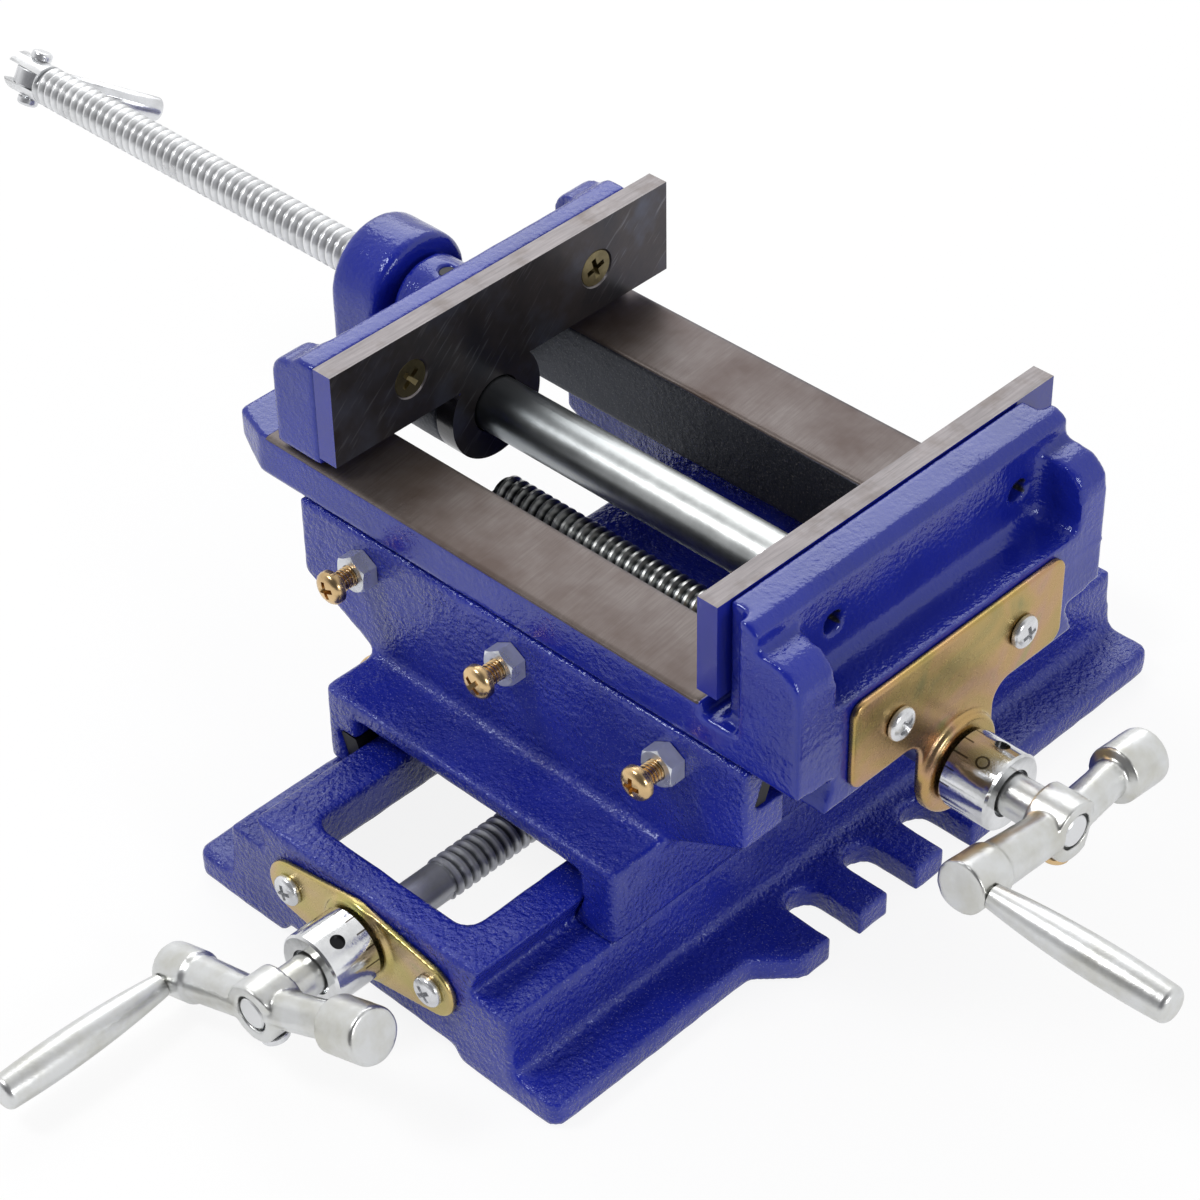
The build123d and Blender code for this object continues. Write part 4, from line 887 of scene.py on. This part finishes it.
def cross_cutter(length, width, depth):
    """Tapered cross with its open side above z = 0 and its narrow end below."""
    made = bmesh.new()
    for turn in (0, 90):
        spin = Matrix.Rotation(math.radians(turn), 4, "Z")
        rows = []
        for height, reach, half in ((0.4, length / 2, width / 2), (-depth, length / 5, width / 3)):
            corners = [(-reach, -half), (reach, -half), (reach, half), (-reach, half)]
            rows.append([made.verts.new(spin @ Vector((x, y, height))) for x, y in corners])
        made.faces.new(rows[0])
        made.faces.new(rows[1][::-1])
        for index in range(4):
            after = (index + 1) % 4
            made.faces.new((rows[0][index], rows[1][index], rows[1][after], rows[0][after]))
    return made


def pan_head(head, height, radius):
    """Profile of a pan head with the top at z = 0, from the stem outwards and up."""
    dome = height * 0.62
    points = [(-height - 0.2, 0), (-height - 0.2, radius * 0.9), (-height, radius * 0.9)]
    points += [(-height, head - 0.2), (-height + 0.3, head), (-dome, head)]
    for share in (0.18, 0.36, 0.54, 0.70, 0.84, 0.94, 1.0):
        angle = share * math.pi / 2
        rise = math.sin(angle) ** 0.9
        points.append((-dome * (1 - rise), head * math.cos(angle) ** 0.75 if share < 1 else 0))
    return points


def flat_head(head, height, radius, length):
    """Profile of a whole countersunk screw with the top at z = 0."""
    points = [(-length, 0), (-length, radius - 0.6), (-length + 0.6, radius), (-height, radius)]
    return points + [(-0.5, head - 0.3), (-0.25, head), (0, head - 0.15), (0, 0)]


def screw_form(head, head_height, radius, length, flat, spin, fine_pitch):
    """Cross-recessed screw with the top of its head at z = 0; flat: countersunk head."""
    made = bmesh.new()
    upright = Matrix.Identity(4)
    if flat:
        profile = flat_head(head, head_height, radius, length)
    else:
        profile = pan_head(head, head_height, radius)
    lathe(made, upright, profile, 32)
    recess = cross_cutter(head * 1.30, head * 0.30, min(head_height * 0.75, 2.2))
    turn = Matrix.Rotation(math.radians(spin), 3, "Z")
    bmesh.ops.rotate(recess, verts=recess.verts, cent=(0, 0, 0), matrix=turn)
    made = cut_away(tidy(made), recess)
    if not flat:
        stem = bmesh.new()
        thread(stem, upright, -length, -head_height, radius, radius * 0.16, fine_pitch, 24)
        lathe(stem, upright, [(-length, 0), (-length, radius * 0.84)], 24)
        merge_into(made, tidy(stem))
    return made


for name, head_height, radius, flat, fine_pitch, spins in (
    ("lower_plate_screws", 2.6, 2.45, False, 0.8, (15, 40)),
    ("upper_plate_screws", 2.6, 2.45, False, 0.8, (30, 10)),
    ("lower_gib_screws", 3.6, 2.9, False, 1.0, (35, 10, 60)),
    ("upper_gib_screws", 3.6, 2.9, False, 1.0, (20, 50, 5)),
    ("fixed_jaw_screws", 3.0, 2.9, True, 1.0, (25, 60)),
    ("movable_jaw_screws", 3.0, 2.9, True, 1.0, (40, 15)),
    ("lower_crank_screw", 2.6, 1.95, False, 0.7, (20,)),
    ("upper_crank_screw", 2.6, 1.95, False, 0.7, (45,)),
):
    made = bmesh.new()
    for (origin, axis, length, head), spin in zip(frames_of(name), spins):
        form = screw_form(head, head_height, radius, length, flat, spin, fine_pitch)
        bmesh.ops.transform(form, matrix=along_axis(origin, axis), verts=form.verts)
        merge_into(made, form)
    stand_in(name, made, 32.0)


# Castings: rounded edges, soft inner corners and an uneven skin
def smoothed(points, pairs, pull, passes):
    """Points drawn towards the middle of their neighbours; pull: how far, for each point."""
    count = np.bincount(pairs.ravel(), minlength=len(points))[:, None]
    for _ in range(passes):
        total = np.zeros_like(points)
        np.add.at(total, pairs[:, 0], points[pairs[:, 1]])
        np.add.at(total, pairs[:, 1], points[pairs[:, 0]])
        points = points + pull * (total / count - points)
    return points


def rounded(
    name,
    voxel,
    passes,
    unevenness,
    ripple,
    faces,
    drills=(),
    flat_planes=(),
    smooth=None,
    reshape=None,
):
    """Cast or forged form of a CAD node.

    voxel: size of the cells in millimetres, passes: how far the edges round, unevenness: how deep
    the skin dips, ripple: width of the dips, faces: triangles kept, drills: bmeshes cut away last,
    flat_planes: (axis, level) of machined faces that stay flat, smooth: as in stand_in,
    reshape: function that moves a point first.
    """
    made = cad_mesh(name)
    bmesh.ops.triangulate(made, faces=made.faces)
    if reshape:
        for vertex in made.verts:
            vertex.co = reshape(vertex.co)
    made = modified(made, "REMESH", mode="VOXEL", voxel_size=voxel, adaptivity=0.0)
    points = np.array([vertex.co for vertex in made.verts])
    low, high = points.min(0), points.max(0)
    pairs = np.array([[edge.verts[0].index, edge.verts[1].index] for edge in made.edges])
    machined = np.zeros(len(points), bool)
    for axis, level in flat_planes:
        machined |= np.abs(points[:, axis] - level) < MACHINED_NEAR
    pull = np.where(machined, MACHINED_PULL, CAST_PULL)[:, None]
    for vertex, point in zip(made.verts, smoothed(points, pairs, pull, passes)):
        vertex.co = point
    made.normal_update()
    for vertex, still in zip(made.verts, machined):
        if not still and unevenness:
            broad = noise.noise(vertex.co / ripple)
            fine = noise.noise(vertex.co * 2.3 / ripple)
            dip = min(max(0.5 + 0.5 * broad + 0.25 * fine, 0.0), 1.2)
            vertex.co = vertex.co - vertex.normal * unevenness * dip
        vertex.co = Vector(np.clip(vertex.co, low, high))
    share = faces / (2 * len(made.faces))
    if share < 1:
        made = modified(made, "DECIMATE", ratio=share)
    for drill_form in drills:
        made = cut_away(made, drill_form)
    stand_in(name, made, smooth)


def drill(origin, direction, radius, length):
    """Cylinder to cut away, from an origin along a direction."""
    made = bmesh.new()
    profile = [(0, 0), (0, radius), (length, radius), (length, 0)]
    lathe(made, along_axis(origin, direction), profile, 24)
    return tidy(made)


def crank_form(hub, outward, grip):
    """Crank of the photo: a head that ends just past its handle and a shorter weight, set back.

    hub: point on the shaft's axis, outward: way out along it, grip: point on the handle's axis.
    """
    arm = grip - hub
    arm = (arm - outward * arm.dot(outward)).normalized()

    def moved(point):
        reach = (point - hub).dot(arm)
        if reach > HEAD_TRIM:
            return point + arm * (HEAD_TRIM - reach) * HEAD_CUT
        if reach < -NECK_RADIUS:
            beyond = reach + NECK_RADIUS
            set_back = WEIGHT_SET_BACK * min(-beyond / SET_BACK_RUN, 1) - SET_BACK_SLOPE * beyond
            return point + arm * (WEIGHT_SHARE - 1) * beyond * WEIGHT_FIT - outward * set_back
        return point

    return moved


web_holes = [
    drill((WEB_HOLE_START, y, z), (1, 0, 0), WEB_HOLE_RADIUS, WEB_HOLE_LENGTH)
    for y, z in WEB_HOLES
]
rounded("base_casting", 1.15, 5, 0.30, 7.0, 60000)
rounded("saddle_casting", 1.0, 5, 0.25, 7.0, 60000)
rounded("vise_body", 1.0, 3, 0.18, 9.0, 60000, web_holes, ((2, BED_TOP),), 50.0)
rounded("movable_jaw", 0.8, 4, 0.15, 8.0, 30000)
for side, origin, direction in (
    ("lower", (0, -120, LOWER_Z), (0, -1, 0)),
    ("upper", (96, AXIS_Y, UPPER_Z), (1, 0, 0)),
):
    bore = drill(origin, direction, NECK_RADIUS + CRANK_BORE_FIT, 60)
    low, high = (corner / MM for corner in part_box(f"{side}_crank_handle"))
    reshape = crank_form(Vector(origin), Vector(direction), (low + high) / 2)
    rounded(f"{side}_crank", 0.45, 3, 0.14, 4.0, 24000, [bore], smooth=50.0, reshape=reshape)
    rounded(f"{side}_bearing_plate", 0.42, 3, 0.0, 5.0, 16000)

# Camera at the photograph's viewing angle
camera_data = bpy.data.cameras.new("camera")
camera = bpy.data.objects.new("camera", camera_data)
bpy.context.scene.collection.objects.link(camera)
right = Vector((0.70468, 0.70884, -0.03132))
up = Vector((-0.43185, 0.46350, 0.77374))
back = Vector((0.56297, -0.53171, 0.63273))
place = Matrix((right, up, back)).transposed().to_4x4()
place.translation = Vector((480.72, -518.67, 645.04)) * MM
camera.matrix_world = place
camera_data.sensor_width = SENSOR
camera_data.lens = FOCAL_PIXELS / PHOTO_SIZE * SENSOR
camera_data.shift_x = (PHOTO_SIZE / 2 - PHOTO_CENTRE[0]) / PHOTO_SIZE
camera_data.shift_y = (PHOTO_CENTRE[1] - PHOTO_SIZE / 2) / PHOTO_SIZE
camera_data.clip_start, camera_data.clip_end = 0.05, 20.0
bpy.context.scene.camera = camera


# Staging
def background_rays(tree):
    """Outputs of a light path node, and 1 on rays that show the background as it is."""
    rays = tree.nodes.new("ShaderNodeLightPath").outputs
    return rays, largest(tree, [rays["Is Camera Ray"], rays["Is Transmission Ray"]])


# Floor: white, with a faint shadow of the object
bpy.ops.mesh.primitive_plane_add(size=12, location=(0, 0, -0.0004))
floor = bpy.context.object
floor.name = "floor"
mat, tree, shader = material("floor")
shader.inputs["Base Color"].default_value = (0.93, 0.93, 0.93, 1)
shader.inputs["Roughness"].default_value = 0.9
shader.inputs["Specular IOR Level"].default_value = 0.0
glow = tree.nodes.new("ShaderNodeEmission")
glow.inputs["Color"].default_value = (1.0, 1.0, 1.0, 1.0)
either = tree.nodes.new("ShaderNodeMixShader")
rays, seen = background_rays(tree)
mirrored = times(tree, rays["Is Glossy Ray"], 0.45)
link(tree, largest(tree, [times(tree, seen, 0.88), mirrored]), either.inputs[0])
link(tree, shader.outputs[0], either.inputs[1])
link(tree, glow.outputs[0], either.inputs[2])
link(tree, either.outputs[0], tree.nodes["Material Output"].inputs["Surface"])
floor.data.materials.append(mat)
floor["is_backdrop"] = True

# White studio round the object, darker in reflections towards the viewer
world = bpy.data.worlds.new("studio")
bpy.context.scene.world = world
world.use_nodes = True
tree = world.node_tree
rays, seen = background_rays(tree)
coord = tree.nodes.new("ShaderNodeTexCoord")
viewer = Vector((0.35, -0.70, 0.62)).normalized()
towards = vector_maths(tree, "DOT_PRODUCT", coord.outputs["Generated"], viewer)["Value"]
shade = ramp(
    tree,
    times(tree, add_up(tree, towards, 1.0), 0.5),
    (0.62, (1.0, 1.0, 1.0)),
    (0.92, (0.14, 0.14, 0.15)),
)
colour = blend_colour(tree, rays["Is Glossy Ray"], (0.55, 0.55, 0.56), shade)
colour = blend_colour(tree, seen, colour, (1.0, 1.0, 1.0))
link(tree, colour, tree.nodes["Background"].inputs["Color"])
tree.nodes["Background"].inputs["Strength"].default_value = 1.0

# Rectangular soft lights, all turned to the middle of the vise
middle = Vector((-0.02, -0.04, 0.06))
for name, where, size, power in (
    ("key", (-0.5, -0.7, 1.2), (0.35, 0.35), 7.0),
    ("fill", (1.1, -0.2, 0.6), (0.35, 0.35), 4.0),
    ("sheen", (-0.85, 0.8, 1.0), (1.1, 1.0), 8.0),
):
    data = bpy.data.lights.new(name, "AREA")
    data.shape = "RECTANGLE"
    data.size, data.size_y = size
    data.energy = power
    light = bpy.data.objects.new(name, data)
    light.location = where
    light.rotation_mode = "QUATERNION"
    light.rotation_quaternion = (Vector(where) - middle).to_track_quat("Z", "Y")
    bpy.context.scene.collection.objects.link(light)

bpy.context.scene.view_settings.view_transform = "Standard"

low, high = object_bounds()
{"cad": [list(cad_low), list(cad_high)], "visual": [list(low), list(high)]}
